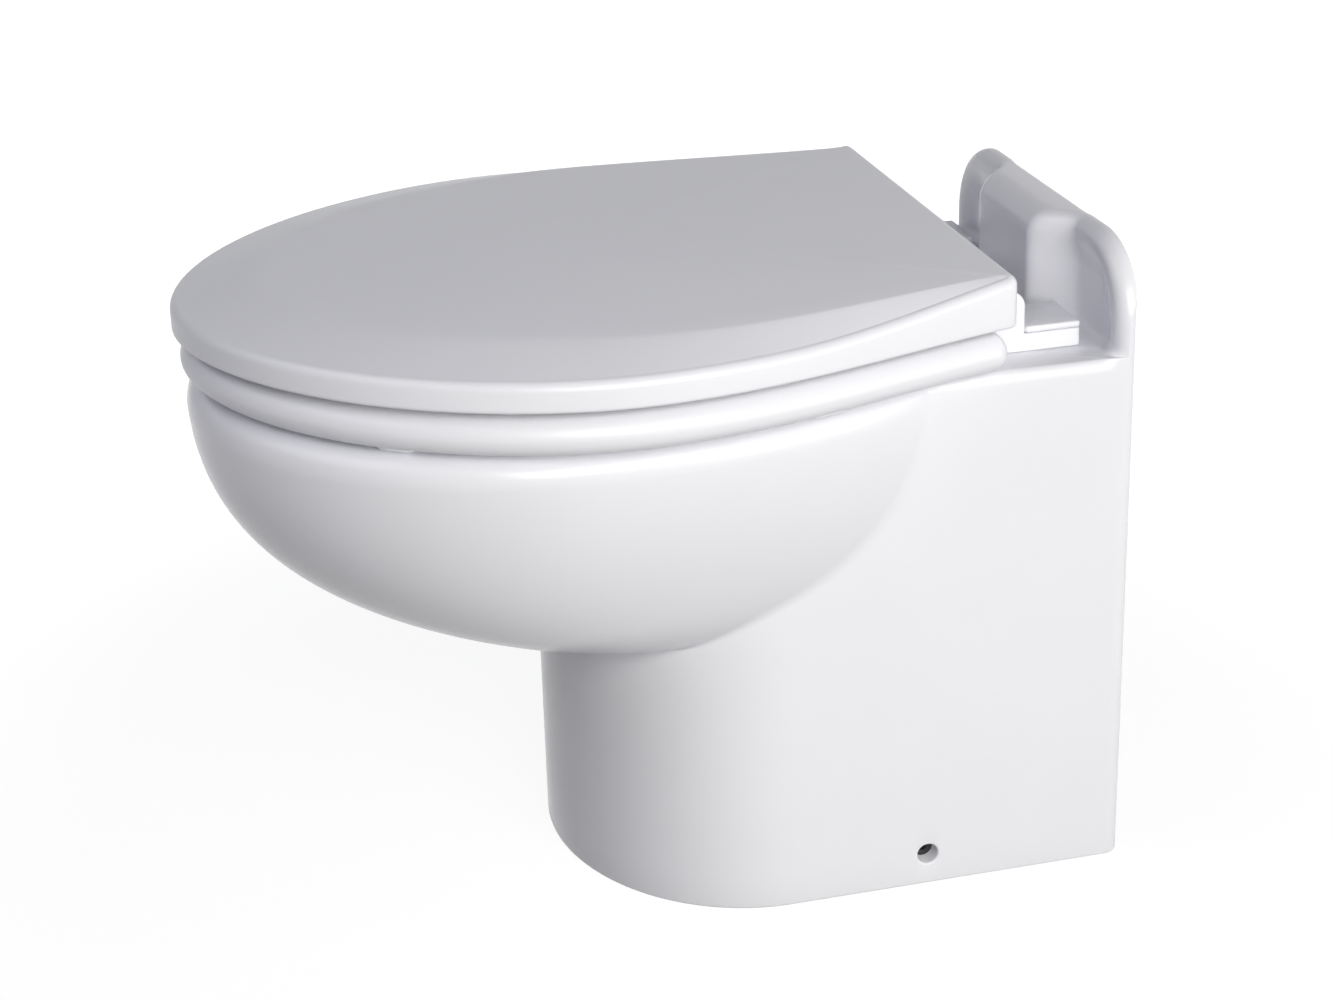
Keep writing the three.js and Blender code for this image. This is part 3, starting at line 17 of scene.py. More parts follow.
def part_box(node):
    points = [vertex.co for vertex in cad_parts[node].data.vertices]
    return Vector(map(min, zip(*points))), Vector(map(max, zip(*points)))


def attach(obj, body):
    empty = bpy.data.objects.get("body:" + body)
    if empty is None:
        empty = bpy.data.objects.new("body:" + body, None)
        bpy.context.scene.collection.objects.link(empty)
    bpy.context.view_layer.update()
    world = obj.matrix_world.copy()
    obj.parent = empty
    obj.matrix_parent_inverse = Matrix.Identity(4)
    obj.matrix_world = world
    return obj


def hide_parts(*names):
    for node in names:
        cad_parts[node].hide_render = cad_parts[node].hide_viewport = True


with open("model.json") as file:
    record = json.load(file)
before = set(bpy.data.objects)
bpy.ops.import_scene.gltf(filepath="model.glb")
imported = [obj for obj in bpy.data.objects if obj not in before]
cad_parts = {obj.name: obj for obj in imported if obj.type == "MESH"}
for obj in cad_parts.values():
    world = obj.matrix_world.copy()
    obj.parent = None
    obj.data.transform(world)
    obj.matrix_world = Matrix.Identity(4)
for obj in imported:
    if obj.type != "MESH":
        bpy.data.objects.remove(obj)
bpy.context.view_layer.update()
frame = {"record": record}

bl_info = {
    "name": "Marine Toilet",
    "version": (1, 0, 0),
    "blender": (4, 5, 0),
    "location": "3D View > Sidebar > Toilet",
    "description": "Builds a compact marine toilet piece by piece over its packed frame",
    "category": "Object",
}

BACK = float(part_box("pan")[1][1])     # y of the pan's back face in the frame
SIDES = (("right", 1.0), ("left", -1.0))
BODY_OF = {node: body for body, nodes in frame["record"]["behaviour"]["bodies"].items() for node in nodes}
GAP = 0.0003                      # play between parts that touch
EDGE = 0.0001                     # rounding of the ends of a cutter
LEDGE = 0.302                     # height of the ledge over the floor
OUTLET_Y = -0.213                 # upright axis of the bowl's outlet
BOLT_X, BOLT_Y = 0.0805, -0.038   # upright axis of the right hinge's bolt
SIDE_HOLE = (-0.1166, 0.0187)     # y and z of the holes in the skirt's sides


# ---- Numbers and colours ----


def linear(text):
    """Linear colour of an sRGB hex value."""
    channels = np.array([int(text[i:i + 2], 16) for i in (0, 2, 4)]) / 255
    return tuple(np.where(channels <= 0.04045, channels / 12.92, ((channels + 0.055) / 1.055) ** 2.4))


def smooth(t):
    """Smooth step from 0 to 1: 3t^2 - 2t^3 inside the unit interval."""
    t = np.clip(t, 0, 1)
    return t * t * (3 - 2 * t)


def mix(a, b, t):
    """Value at share t of the way from a to b."""
    return a + (b - a) * t


def quarter(count):
    """Sine and cosine of count + 1 angles over a quarter turn."""
    angle = np.linspace(0, math.pi / 2, count + 1)
    return np.sin(angle), np.cos(angle)


# ---- Sizes and colours a user can change ----


def length(name, default, text):
    """Length property in metres."""
    return FloatProperty(name=name, description=text, default=default, unit="LENGTH", precision=4)


def colour(name, text_hex, text):
    """Colour property with an sRGB hex default."""
    return FloatVectorProperty(name=name, description=text, subtype="COLOR", size=3, min=0, max=1,
                               default=linear(text_hex))


def power(name, default, text):
    """Light power property in watts."""
    return FloatProperty(name=name, description=text, default=default, min=0, unit="POWER")


class PanSizes(bpy.types.PropertyGroup):
    """Sizes of the ceramic pan."""

    half_width: length("Half width", 0.125, "Half the width of the skirt")
    straight: length("Straight side", 0.196, "Length of the skirt's straight sides from the back")
    nose: length("Nose", 0.109, "Reach of the skirt's rounded front")
    height: length("Ledge height", LEDGE, "Height of the ledge over the floor")
    wall: length("Wall", 0.010, "Thickness of the skirt's wall")
    bowl_base: length("Keel height", 0.156, "Height at which the bowl leaves the skirt")
    bowl_half_width: length("Bowl half width", 0.172, "Half the width of the bowl at its rim")
    bowl_front: length("Bowl front", 0.493, "Distance from the back to the bowl's front")
    blend: length("Blend", 0.003, "Width over which bowl and skirt melt together")
    rim_radius: length("Ledge radius", 0.008, "Rounding of the ledge's outer edge")
    bowl_rim_radius: length("Rim radius", 0.014, "Rounding of the bowl's outer edge")
    rim_depth: length("Rim depth", 0.030, "Depth of the flushing rim under the ledge")
    upstand_height: length("Upstand height", 0.060, "Rise of the upstand over the ledge")
    sump_floor: length("Sump floor", 0.114, "Height of the sump's floor")


class CoverSizes(bpy.types.PropertyGroup):
    """Sizes of seat and lid."""

    rear: length("Back edge", 0.074, "Distance from the pan's back to the lid's back edge")
    length: length("Lid length", 0.423, "Length of the lid")
    half_width: length("Lid half width", 0.1895, "Half the greatest width of the lid")
    back_half_width: length("Back half width", 0.138, "Half the width of the lid's back edge")
    widest: length("Widest place", 0.2115, "Distance from the back edge to the widest place")
    lid_bottom: length("Lid underside", 0.331, "Height of the lid's lower edge")
    lid_top: length("Lid top", 0.3585, "Height of the lid's back edge")
    rise: length("Rise", 0.0025, "Height of the lid's middle over its back edge")
    crown: length("Crown", 0.005, "Fall of the lid's crown from the middle to the crease")
    drop: length("Border drop", 0.014, "Fall of the lid from the middle to its edge")
    seat_bottom: length("Seat underside", 0.3053, "Height of the seat's underside")
    seat_thickness: length("Seat thickness", 0.0227, "Thickness of the seat ring")
    corner: length("Corner radius", 0.007, "Rounding of the two back corners in plan")


class HingeSizes(bpy.types.PropertyGroup):
    """Sizes of the hinges."""

    height: length("Pin height", 0.328, "Height of the hinge line")
    from_rear: length("Pin setback", 0.0635, "Distance of the hinge line from the pan's back")
    pin_radius: length("Pin radius", 0.0035, "Radius of the hinge pin")
    side: length("Outer face", 0.0985, "Distance of the hinge's outer face from the middle")
    foot_top: length("Foot top", 0.3123, "Height of the foot's top, under its cap")


class PumpSizes(bpy.types.PropertyGroup):
    """Sizes of the macerator pump and its outlet."""

    axis_height: length("Shaft height", 0.052, "Height of the motor's shaft")
    housing_radius: length("Housing radius", 0.042, "Radius of the macerator housing")
    motor_radius: length("Motor radius", 0.033, "Radius of the motor can")
    port_side: length("Port offset", 0.023, "Sideways offset of the discharge port")
    outlet_height: length("Outlet height", 0.142, "Height of the outlet nozzle's axis")
    hose_radius: length("Hose tail radius", 0.019, "Radius of the 38 mm hose tail")
    vanes: IntProperty(name="Vanes", description="Number of impeller vanes", default=5, min=3, max=9)


class RinseSizes(bpy.types.PropertyGroup):
    """Sizes of the rinse valve and its hose."""

    side: length("Valve offset", 0.062, "Sideways offset of the valve to the left")
    from_rear: length("Valve setback", 0.046, "Distance of the valve from the pan's back")
    height: length("Valve height", 0.186, "Height of the valve's ports")
    inlet_height: length("Grommet height", 0.256, "Height of the hose grommet in the basin's back")
    coil_radius: length("Coil radius", 0.016, "Radius of the solenoid coil")
    hose_radius: length("Hose radius", 0.0103, "Outer radius of the rinse hose")


class Finishes(bpy.types.PropertyGroup):
    """Colours of the finishes."""

    china: colour("Glazed china", "F1F2F7", "Glaze of the pan")
    bisque: colour("Bisque", "DDD8D0", "Unglazed clay inside the pan")
    seat_resin: colour("Urea resin", "F1F2F7", "Moulded seat and lid")
    nylon: colour("White nylon", "F3F4FA", "Hinges, pads and brackets")
    pale_rubber: colour("Pale silicone", "E4E4E2", "Lid pads and grommet")
    black_rubber: colour("Black rubber", "242528", "Elbow, seals and feet")
    black_nylon: colour("Black nylon", "2A2C30", "Pump housing and valve")
    grey_vinyl: colour("Grey vinyl", "9298A0", "Rinse hose")
    enamel: colour("Grey enamel", "D9DCDF", "Motor can")
    steel: colour("Stainless steel", "C6C8CB", "Straps, clamps and screws")
    brass: colour("Brass", "BE9A52", "Inlet tail")


class StudioSettings(bpy.types.PropertyGroup):
    """Camera and light."""

    lens: FloatProperty(name="Lens", description="Focal length in millimetres", default=74.127, min=10)
    key: power("Key light", 44.5, "Power of the large light beside the camera")
    side: power("Side light", 12, "Power of the low light behind the right side")
    front: power("Front light", 8.5, "Power of the high light in front")
    back: power("Back light", 6.5, "Power of the light behind")
    sky: FloatProperty(name="Room light", description="Strength of the even light all round", default=0.045, min=0)


# ---- Meshes ----


def mesh_of(name, points, quads, triangles=None):
    """Closed mesh from points, four-sided and three-sided faces, turned so that its volume is positive."""
    triangles = np.zeros((0, 3), int) if triangles is None else triangles
    halves = np.vstack([quads[:, :3], quads[:, [0, 2, 3]], triangles])
    a, b, c = (points[halves[:, k]] for k in range(3))
    if np.einsum("ij,ij->i", a, np.cross(b, c)).sum() < 0:
        quads, triangles = quads[:, ::-1], triangles[:, ::-1]
    mesh = bpy.data.meshes.new(name)
    mesh.from_pydata((points + [0, BACK, 0]).tolist(), [], quads.tolist() + triangles.tolist())
    mesh.validate()
    return mesh


def loft(rings, tips=None, closed=False, name="loft"):
    """Surface through a (rows, columns, 3) grid. Columns join round; rows join round too if closed,
    and otherwise a fan closes each end, about the ring's mean or the given tips."""
    rings = np.asarray(rings, float)
    rows, columns = rings.shape[:2]
    ids = np.arange(rows * columns).reshape(rows, columns)
    low, high = (ids, np.roll(ids, -1, 0)) if closed else (ids[:-1], ids[1:])
    quads = np.stack([low, np.roll(low, -1, 1), np.roll(high, -1, 1), high], -1).reshape(-1, 4)
    points = rings.reshape(-1, 3)
    if closed:
        return mesh_of(name, points, quads)
    tips = [rings[0].mean(0), rings[-1].mean(0)] if tips is None else tips
    hubs = np.arange(2) + len(points)
    first, last = ids[0], ids[-1]
    fans = np.vstack([
        np.stack([np.full(columns, hubs[0]), np.roll(first, -1), first], -1),
        np.stack([np.full(columns, hubs[1]), last, np.roll(last, -1)], -1),
    ])
    return mesh_of(name, np.vstack([points, tips]), quads, fans)


# Directions of a plan's two coordinates and of its normal: for turned pieces, and for extruded ones.
X, Y, Z = np.eye(3)
AXES = {"x": (Y, Z, X), "y": (Z, X, Y), "z": (X, Y, Z)}
PLANS = {**AXES, "y": (X, Z, Y)}


def level(plan, z):
    """Ring of a plan outline at one height."""
    return np.column_stack([plan, np.full(len(plan), z)])


def run_of(line):
    """Distance of each point of a line from its start, along it."""
    return np.concatenate([[0], np.cumsum(np.linalg.norm(np.diff(line, axis=0), axis=1))])


def lathe(profile, axis, at, count=64, turn=0.0):
    """Solid of revolution: (radius, height) pairs turned about an axis through at. A profile that ends on
    the axis is closed there by a tip, any other is closed on itself as a ring."""
    profile = np.asarray(profile, float)
    u, v, w = AXES[axis]
    angle = np.arange(count) * 2 * math.pi / count + turn
    around = np.cos(angle)[:, None] * u + np.sin(angle)[:, None] * v
    at = np.asarray(at, float)
    solid = profile[0, 0] == 0
    used = profile[1:-1] if solid else profile
    rings = used[:, 0, None, None] * around + used[:, 1, None, None] * w + at
    if solid:
        return loft(rings, [at + profile[0, 1] * w, at + profile[-1, 1] * w])
    return loft(rings, closed=True)


def rod(radius, low, high, axis, at, edge=0.0006, count=48, turn=0.0):
    """Cylinder between two heights with both edges rounded to a quarter circle."""
    s, c = quarter(3)
    foot = np.stack([radius - edge + edge * s, low + edge - edge * c], -1)
    head = np.stack([radius - edge + edge * c, high - edge + edge * s], -1)
    return lathe(np.vstack([[0, low], foot, head, [0, high]]), axis, at, count, turn)


def bore(radius, low, high, axis, at, count=48):
    """Cutter for a round hole between two heights."""
    return rod(radius, low, high, axis, at, EDGE, count)


def sleeve(outer, inner, low, high, axis, at, edge=0.0005, count=64):
    """Tube between two heights with its four edges eased by small chamfers."""
    return lathe([
        (inner + edge, low), (outer - edge, low), (outer, low + edge), (outer, high - edge),
        (outer - edge, high), (inner + edge, high), (inner, high - edge), (inner, low + edge),
    ], axis, at, count)


def rounded(corners, radius, steps=6):
    """Polygon whose corners are replaced by parabolas that start one radius before each corner."""
    corners = np.asarray(corners, float)
    back = np.roll(corners, 1, 0) - corners
    ahead = np.roll(corners, -1, 0) - corners
    reach = np.full(len(corners), radius) if np.isscalar(radius) else np.asarray(radius, float)
    run_b, run_a = np.linalg.norm(back, axis=1), np.linalg.norm(ahead, axis=1)
    reach = np.minimum(reach, 0.49 * np.minimum(run_b, run_a))[:, None]
    start, end = corners + back / run_b[:, None] * reach, corners + ahead / run_a[:, None] * reach
    t = np.linspace(0, 1, steps + 1)[None, :, None]
    arcs = (1 - t) ** 2 * start[:, None] + 2 * t * (1 - t) * corners[:, None] + t * t * end[:, None]
    return arcs.reshape(-1, 2)


def oblong(x0, x1, y0, y1, radius):
    """Plan of a rectangle with rounded corners."""
    return rounded([(x0, y0), (x1, y0), (x1, y1), (x0, y1)], radius)


def offset(outline, inset):
    """Plan outline moved inwards along the bisector of each pair of neighbouring edges."""
    before = outline - np.roll(outline, 1, 0)
    after = np.roll(outline, -1, 0) - outline
    area = np.sum(outline[:, 0] * np.roll(outline[:, 1], -1) - np.roll(outline[:, 0], -1) * outline[:, 1])
    normals = []
    for edge in (before, after):
        n = np.stack([edge[:, 1], -edge[:, 0]], -1) * np.sign(area)
        normals.append(n / np.maximum(np.linalg.norm(n, axis=1), 1e-9)[:, None])
    bisector = normals[0] + normals[1]
    bisector /= np.maximum(np.linalg.norm(bisector, axis=1), 1e-9)[:, None]
    share = np.maximum((bisector * normals[1]).sum(1), 0.5)[:, None]
    return outline - bisector / share * inset


def slab(outline, low, high, axis="z", edge=0.001, steps=3):
    """Plan outline carried along an axis between two heights, its rims rounded by quarter circles."""
    s, c = quarter(steps)
    insets = np.concatenate([edge * (1 - s), edge * (1 - c)])
    heights = np.concatenate([low + edge * (1 - c), high - edge * (1 - s)])
    u, v, w = PLANS[axis]
    rings = [flat[:, :1] * u + flat[:, 1:] * v + h * w
             for flat, h in zip((offset(outline, i) for i in insets), heights)]
    return loft(rings)


def tube(path, outer, inner, count=32, ridge=0.0, pitch=0.004):
    """Hose wall carried along a path: rings of the outer radius forward and of the inner one back, across
    frames taken from a fixed direction. A ridge gives the outside a cosine rib at each pitch."""
    path = np.asarray(path, float)
    tangent = np.gradient(path, axis=0)
    tangent /= np.linalg.norm(tangent, axis=1)[:, None]
    side = np.cross(tangent, [0.577, 0.577, 0.577])
    side /= np.linalg.norm(side, axis=1)[:, None]
    up = np.cross(side, tangent)
    angle = np.arange(count) * 2 * math.pi / count
    ring = np.cos(angle)[None, :, None] * side[:, None] + np.sin(angle)[None, :, None] * up[:, None]
    reach = outer + ridge * (np.cos(run_of(path) / pitch * 2 * math.pi) - 1) / 2
    outside = path[:, None] + ring * np.reshape(reach, (-1, 1, 1))
    inside = path[:, None] + ring * inner
    return loft(np.concatenate([outside, inside[::-1]]), closed=True)


def bend(corners, radius, steps=16, straight=6):
    """Path of straight runs with an arc of one radius at each inner corner."""
    corners = np.array(corners, float)
    share = np.linspace(0, 1, straight)[1:, None]
    points = [corners[:1]]
    for before, corner, after in zip(corners, corners[1:], corners[2:]):
        back = (before - corner) / np.linalg.norm(before - corner)
        ahead = (after - corner) / np.linalg.norm(after - corner)
        half = math.acos(np.clip(back @ ahead, -1, 1)) / 2
        start = corner + back * radius / math.tan(half)
        centre = corner + (back + ahead) / np.linalg.norm(back + ahead) * radius / math.sin(half)
        sweep = np.linspace(0, math.pi - 2 * half, steps + 1)[:, None]
        points.append(mix(points[-1][-1:], start, np.linspace(0, 1, straight, endpoint=False)[1:, None]))
        points.append(centre + (start - centre) * np.cos(sweep) - back * radius * np.sin(sweep))
    points.append(mix(points[-1][-1:], corners[-1], share))
    return np.vstack(points)


def flowing(points, count):
    """Centripetal spline through route points, sampled evenly: Catmull-Rom with chord-root spacing, as three
    rounds of straight blends between neighbouring points."""
    p = np.asarray(points, float)
    p = np.vstack([2 * p[0] - p[1], p, 2 * p[-1] - p[-2]])
    knots = np.concatenate([[0], np.cumsum(np.linalg.norm(np.diff(p, axis=0), axis=1) ** 0.5)])
    where = np.linspace(knots[1], knots[-2], count)
    i = np.clip(np.searchsorted(knots, where, side="right") - 1, 1, len(p) - 3)
    t = where[:, None]
    knot = [knots[i + k][:, None] for k in (-1, 0, 1, 2)]

    def blend(low, high, k, m):
        """Straight blend of two values between knots k and m."""
        return (knot[m] - t) / (knot[m] - knot[k]) * low + (t - knot[k]) / (knot[m] - knot[k]) * high

    a = [blend(p[i + k - 1], p[i + k], k, k + 1) for k in range(3)]
    b = [blend(a[k], a[k + 1], k, k + 2) for k in range(2)]
    return blend(b[0], b[1], 1, 2)


def carve(mesh, *tools, operation="DIFFERENCE"):
    """Mesh left when closed tools are cut from, joined to or kept inside a closed mesh, one after the other."""
    for tool in tools:
        base, blank = (bpy.data.objects.new(n, m) for n, m in (("base", mesh), ("tool", tool)))
        for made in (base, blank):
            bpy.context.scene.collection.objects.link(made)
        step = base.modifiers.new("carve", "BOOLEAN")
        step.object, step.operation, step.solver = blank, operation, "MANIFOLD"
        result = bpy.data.meshes.new_from_object(base.evaluated_get(bpy.context.evaluated_depsgraph_get()))
        for made in (base, blank):
            bpy.data.objects.remove(made)
        for old in (mesh, tool):
            bpy.data.meshes.remove(old)
        if not result.polygons:
            raise RuntimeError(f"nothing is left after {operation}")
        mesh = result
    return mesh


def joined(mesh, *others):
    """Union of closed meshes, one after the other."""
    return carve(mesh, *others, operation="UNION")


def gathered(*meshes):
    """One mesh that holds several closed shells side by side."""
    hold = bmesh.new()
    for mesh in meshes:
        hold.from_mesh(mesh)
        bpy.data.meshes.remove(mesh)
    result = bpy.data.meshes.new("gathered")
    hold.to_mesh(result)
    hold.free()
    return result


def mirrored(mesh):
    """The mesh turned into its left-hand twin."""
    mesh.transform(Matrix.Scale(-1, 4, X))
    mesh.flip_normals()
    return mesh


def placed(mesh, at, *turns):
    """The mesh turned about the middle by (angle, axis) pairs, the last one first, and moved to a point."""
    place = Matrix.Translation(Vector(at) + Vector((0, BACK, 0)))
    for angle, axis in turns:
        place = place @ Matrix.Rotation(angle, 4, axis)
    mesh.transform(place @ Matrix.Translation((0, -BACK, 0)))
    return mesh


def piece(node, mesh, finish, sharp=32.0):
    """Puts a mesh in place of a CAD node: named, finished, softly shaded below an edge angle, on its body."""
    mesh.name = f"{node}_made"
    made = bpy.data.objects.new(mesh.name, mesh)
    bpy.context.scene.collection.objects.link(made)
    mesh.materials.clear()
    mesh.materials.append(FINISHES[finish])
    mesh.shade_smooth()
    mesh.set_sharp_from_angle(angle=math.radians(sharp))
    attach(made, BODY_OF[node])
    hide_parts(node)


# ---- Finishes ----


def feed(tree, node, inputs):
    """Gives input sockets of a node a value each, or the output that feeds them."""
    for socket, value in inputs.items():
        if isinstance(value, bpy.types.NodeSocket):
            tree.links.new(value, node.inputs[socket])
        else:
            node.inputs[socket].default_value = value


def add_node(tree, kind, inputs, **settings):
    """Adds a node with its settings and what its inputs hold, and returns its outputs."""
    made = tree.nodes.new(kind)
    for key, value in settings.items():
        setattr(made, key, value)
    feed(tree, made, inputs)
    return made.outputs


def patterned(name, colour_value, rough, cloud, gloss, relief, stretch=None, rings=False, **shading):
    """Material whose colour, roughness and relief follow noise in object coordinates, with lengths in metres.
    cloud: grain width, detail, the range of the noise that counts, and the shade that the colour is multiplied
    by at its upper end. gloss: grain width, detail, range, and the two roughnesses. relief: grain width, detail,
    depth and strength. stretch scales the coordinates of gloss and relief, and rings turns the relief's noise
    into lathe rings that far apart. shading holds further sockets of the shader."""
    finish = bpy.data.materials.new(name)
    finish.use_nodes = True
    tree = finish.node_tree
    shader = tree.nodes["Principled BSDF"]
    feed(tree, shader, {"Base Color": (*colour_value, 1), "Roughness": rough, "Coat Roughness": 0.06, "IOR": 1.5,
                        **{key.replace("_", " "): value for key, value in shading.items()}})
    where = {"Vector": add_node(tree, "ShaderNodeTexCoord", {})["Object"]}

    def wavering(at, size, detail, low, high, first=0.0, last=1.0):
        """Noise of one grain width, its range from low to high stretched from first to last."""
        noise = {**at, "Scale": 1 / size, "Detail": detail, "Roughness": 0.5}
        span = {"Value": add_node(tree, "ShaderNodeTexNoise", noise)["Fac"],
                "From Min": low, "From Max": high, "To Min": first, "To Max": last}
        return add_node(tree, "ShaderNodeMapRange", span)["Result"]

    size, detail, low, high, shade = cloud
    other = [min(1.0, c * s) for c, s in zip(colour_value, shade)]
    colours = {0: wavering(where, size, detail, low, high), 6: (*colour_value, 1), 7: (*other, 1)}
    links = {"Base Color": add_node(tree, "ShaderNodeMix", colours, data_type="RGBA")[2]}
    along = where
    if stretch:
        along = {"Vector": add_node(tree, "ShaderNodeMapping", {**where, "Scale": stretch})["Vector"]}
    if gloss:
        links["Roughness"] = wavering(along, *gloss)
    size, detail, depth, strength = relief
    if rings:
        # Blender's wave at scale 1 repeats every 2 pi / 20 metres.
        bands = {**where, "Scale": 2 * math.pi / 20 / size, "Distortion": 0.0}
        height = add_node(tree, "ShaderNodeTexWave", bands, bands_direction="Y")
    else:
        noise = {**along, "Scale": 1 / size, "Detail": detail, "Roughness": 0.5}
        height = add_node(tree, "ShaderNodeTexNoise", noise)
    lift = {"Height": height["Fac"], "Distance": depth, "Strength": strength}
    links["Normal"] = add_node(tree, "ShaderNodeBump", lift)["Normal"]
    feed(tree, shader, links)
    return finish


def moulded_nylon(name, colour_value, rough, grain=0.0008):
    """Injection-moulded nylon: a fine spark-eroded grain, drawn near 0.8 mm so that it shows, and slight
    flow marks in the colour."""
    return patterned(name, colour_value, rough, (0.02, 3, 0.35, 0.65, (0.95, 0.95, 0.95)),
                     (0.004, 3, 0.3, 0.7, rough - 0.05, rough + 0.07), (grain, 2, 0.00005, 0.5), IOR=1.53)


def moulded_rubber(name, colour_value):
    """Moulded rubber: matt, with a bloom that greys it in patches 15 mm wide and a soft fine grain."""
    return patterned(name, colour_value, 0.7, (0.015, 4, 0.4, 0.7, (1.35, 1.35, 1.38)), None,
                     (0.0009, 2, 0.00006, 0.5), IOR=1.52, Sheen_Weight=0.08)


FINISHES = {}


def make_finishes(colours):
    """Fills the table of finishes."""
    # Vitreous china, a white body under a fired glaze. The eye gets a deep even gloss, a faint ripple of the
    # glaze some 12 mm wide, and clay that shows slightly warmer and darker where the glaze is thin.
    FINISHES["china"] = patterned(
        "Glazed vitreous china", colours.china, 0.2, (0.09, 2, 0.15, 0.85, (0.965, 0.962, 0.962)),
        (0.03, 2, 0.15, 0.85, 0.18, 0.24), (0.012, 1, 0.00003, 0.2))
    # Fired clay with no glaze, as inside a pan: matt, slightly warm, with the grain of the clay and pale
    # casting streaks about 20 mm wide.
    FINISHES["bisque"] = patterned(
        "Raw bisque clay", colours.bisque, 0.82, (0.02, 4, 0.35, 0.65, (0.88, 0.86, 0.83)), None,
        (0.0012, 3, 0.00012, 0.6))
    # Urea resin, compression moulded and buffed: dense white with a satin gloss softer than glaze, and the
    # long low waves of a polished mould about 35 mm wide.
    FINISHES["resin"] = patterned(
        "Moulded urea resin", colours.seat_resin, 0.3, (0.11, 2, 0.15, 0.85, (0.97, 0.97, 0.975)),
        (0.03, 2, 0.15, 0.85, 0.28, 0.34), (0.035, 1, 0.00004, 0.2), IOR=1.52)
    FINISHES["nylon"] = moulded_nylon("White moulded nylon", colours.nylon, 0.38)
    FINISHES["pale_rubber"] = moulded_rubber("Pale moulded silicone", colours.pale_rubber)
    FINISHES["black_rubber"] = moulded_rubber("Black moulded rubber", colours.black_rubber)
    FINISHES["black_nylon"] = moulded_nylon("Black glass-filled nylon", colours.black_nylon, 0.48, 0.0012)
    FINISHES["grey_acetal"] = moulded_nylon("Grey moulded acetal", colours.grey_vinyl, 0.4)
    # Soft vinyl hose: half-matt grey with faint mottling 4 mm wide from the plasticiser.
    FINISHES["vinyl"] = patterned(
        "Soft grey vinyl", colours.grey_vinyl, 0.45, (0.004, 3, 0.35, 0.65, (0.92, 0.92, 0.93)), None,
        (0.0015, 2, 0.00004, 0.4), IOR=1.53)
    # Stoved enamel on pressed steel: light grey, half gloss, with orange peel about 2 mm wide.
    FINISHES["enamel"] = patterned(
        "Stoved grey enamel", colours.enamel, 0.34, (0.05, 2, 0.35, 0.65, (0.96, 0.96, 0.97)),
        (0.01, 3, 0.3, 0.7, 0.3, 0.4), (0.002, 1, 0.00006, 0.5), Coat_Weight=0.2)
    # Stainless steel, rolled and satin finished: fine drawn lines across the strip, near 0.4 mm apart and drawn
    # at 0.8 mm so that they show, and a roughness that wavers with them.
    FINISHES["steel"] = patterned(
        "Satin stainless steel", colours.steel, 0.32, (0.012, 3, 0.35, 0.7, (0.93, 0.93, 0.94)),
        (0.0008, 4, 0.3, 0.7, 0.24, 0.42), (0.0008, 4, 0.00002, 0.4), stretch=(1, 0.06, 1), Metallic=1.0)
    # Brass, turned on a lathe: tool rings along its axis, drawn 3 mm apart so that they show, and light tarnish
    # in patches.
    FINISHES["brass"] = patterned(
        "Turned brass", colours.brass, 0.28, (0.006, 4, 0.4, 0.7, (0.78, 0.74, 0.66)), None,
        (math.pi / 1000, 0, 0.00003, 0.4), rings=True, Metallic=1.0)


# ---- Pan ----


def skirt_outline(size, inset=0.0):
    """D-shaped plan: square back with 8 mm corners, straight sides, half-elliptic nose."""
    half, r = size.half_width - inset, max(0.008 - inset, GAP)
    side = np.linspace(-size.straight, -inset - r, 90)[:-1]
    angle = np.linspace(0, math.pi / 2, 9)
    flat = np.linspace(half - r, r - half, 30)[1:-1]
    nose = math.pi + np.linspace(0, math.pi, 201)[1:-1]
    right = np.vstack([
        np.stack([np.full(side.shape, half), side], -1),
        np.stack([half - r + r * np.cos(angle), -inset - r + r * np.sin(angle)], -1),
    ])
    back = np.stack([flat, np.full(flat.shape, -inset)], -1)
    front = np.stack([half * np.cos(nose), -size.straight + (size.nose - inset) * np.sin(nose)], -1)
    return np.vstack([right, back, right[::-1] * [-1, 1], front])


KEEL = 0.240          # distance from the pan's back to the axis from which its outside is measured


def oval_reach(oval, direction):
    """Distance from the pan's axis to an egg of two half ellipses: the positive root of the quadratic of
    ray and ellipse, taken from the front half where the point lies before the egg's centre."""
    half_width, front, centre, rear = (np.reshape(v, (-1, 1)) for v in oval)
    dx, dy = direction[None, :, 0], direction[None, :, 1]
    shift = centre - KEEL
    reach = []
    for span in (front - centre, centre - rear):
        a = (dx / half_width) ** 2 + (dy / span) ** 2
        b = 2 * shift * dy / span ** 2
        c = (shift / span) ** 2 - 1
        reach.append((-b + np.sqrt(np.maximum(b * b - 4 * a * c, 0))) / (2 * a))
    return np.where(shift + reach[0] * dy < 0, reach[0], reach[1])


def bowl_oval(size, u):
    """Bowl's outside plan at height share u: superelliptic growth from the keel to the rim, with power 2.5
    lengthwise and 1.8 across."""
    along = (1 - (1 - u) ** 2.5) ** 0.4
    across = (1 - (1 - u) ** 1.8) ** (1 / 1.8)
    return (mix(0.095, size.bowl_half_width, across), mix(0.265, size.bowl_front, along),
            mix(KEEL, 0.300, along), mix(0.190, 0.035, along))


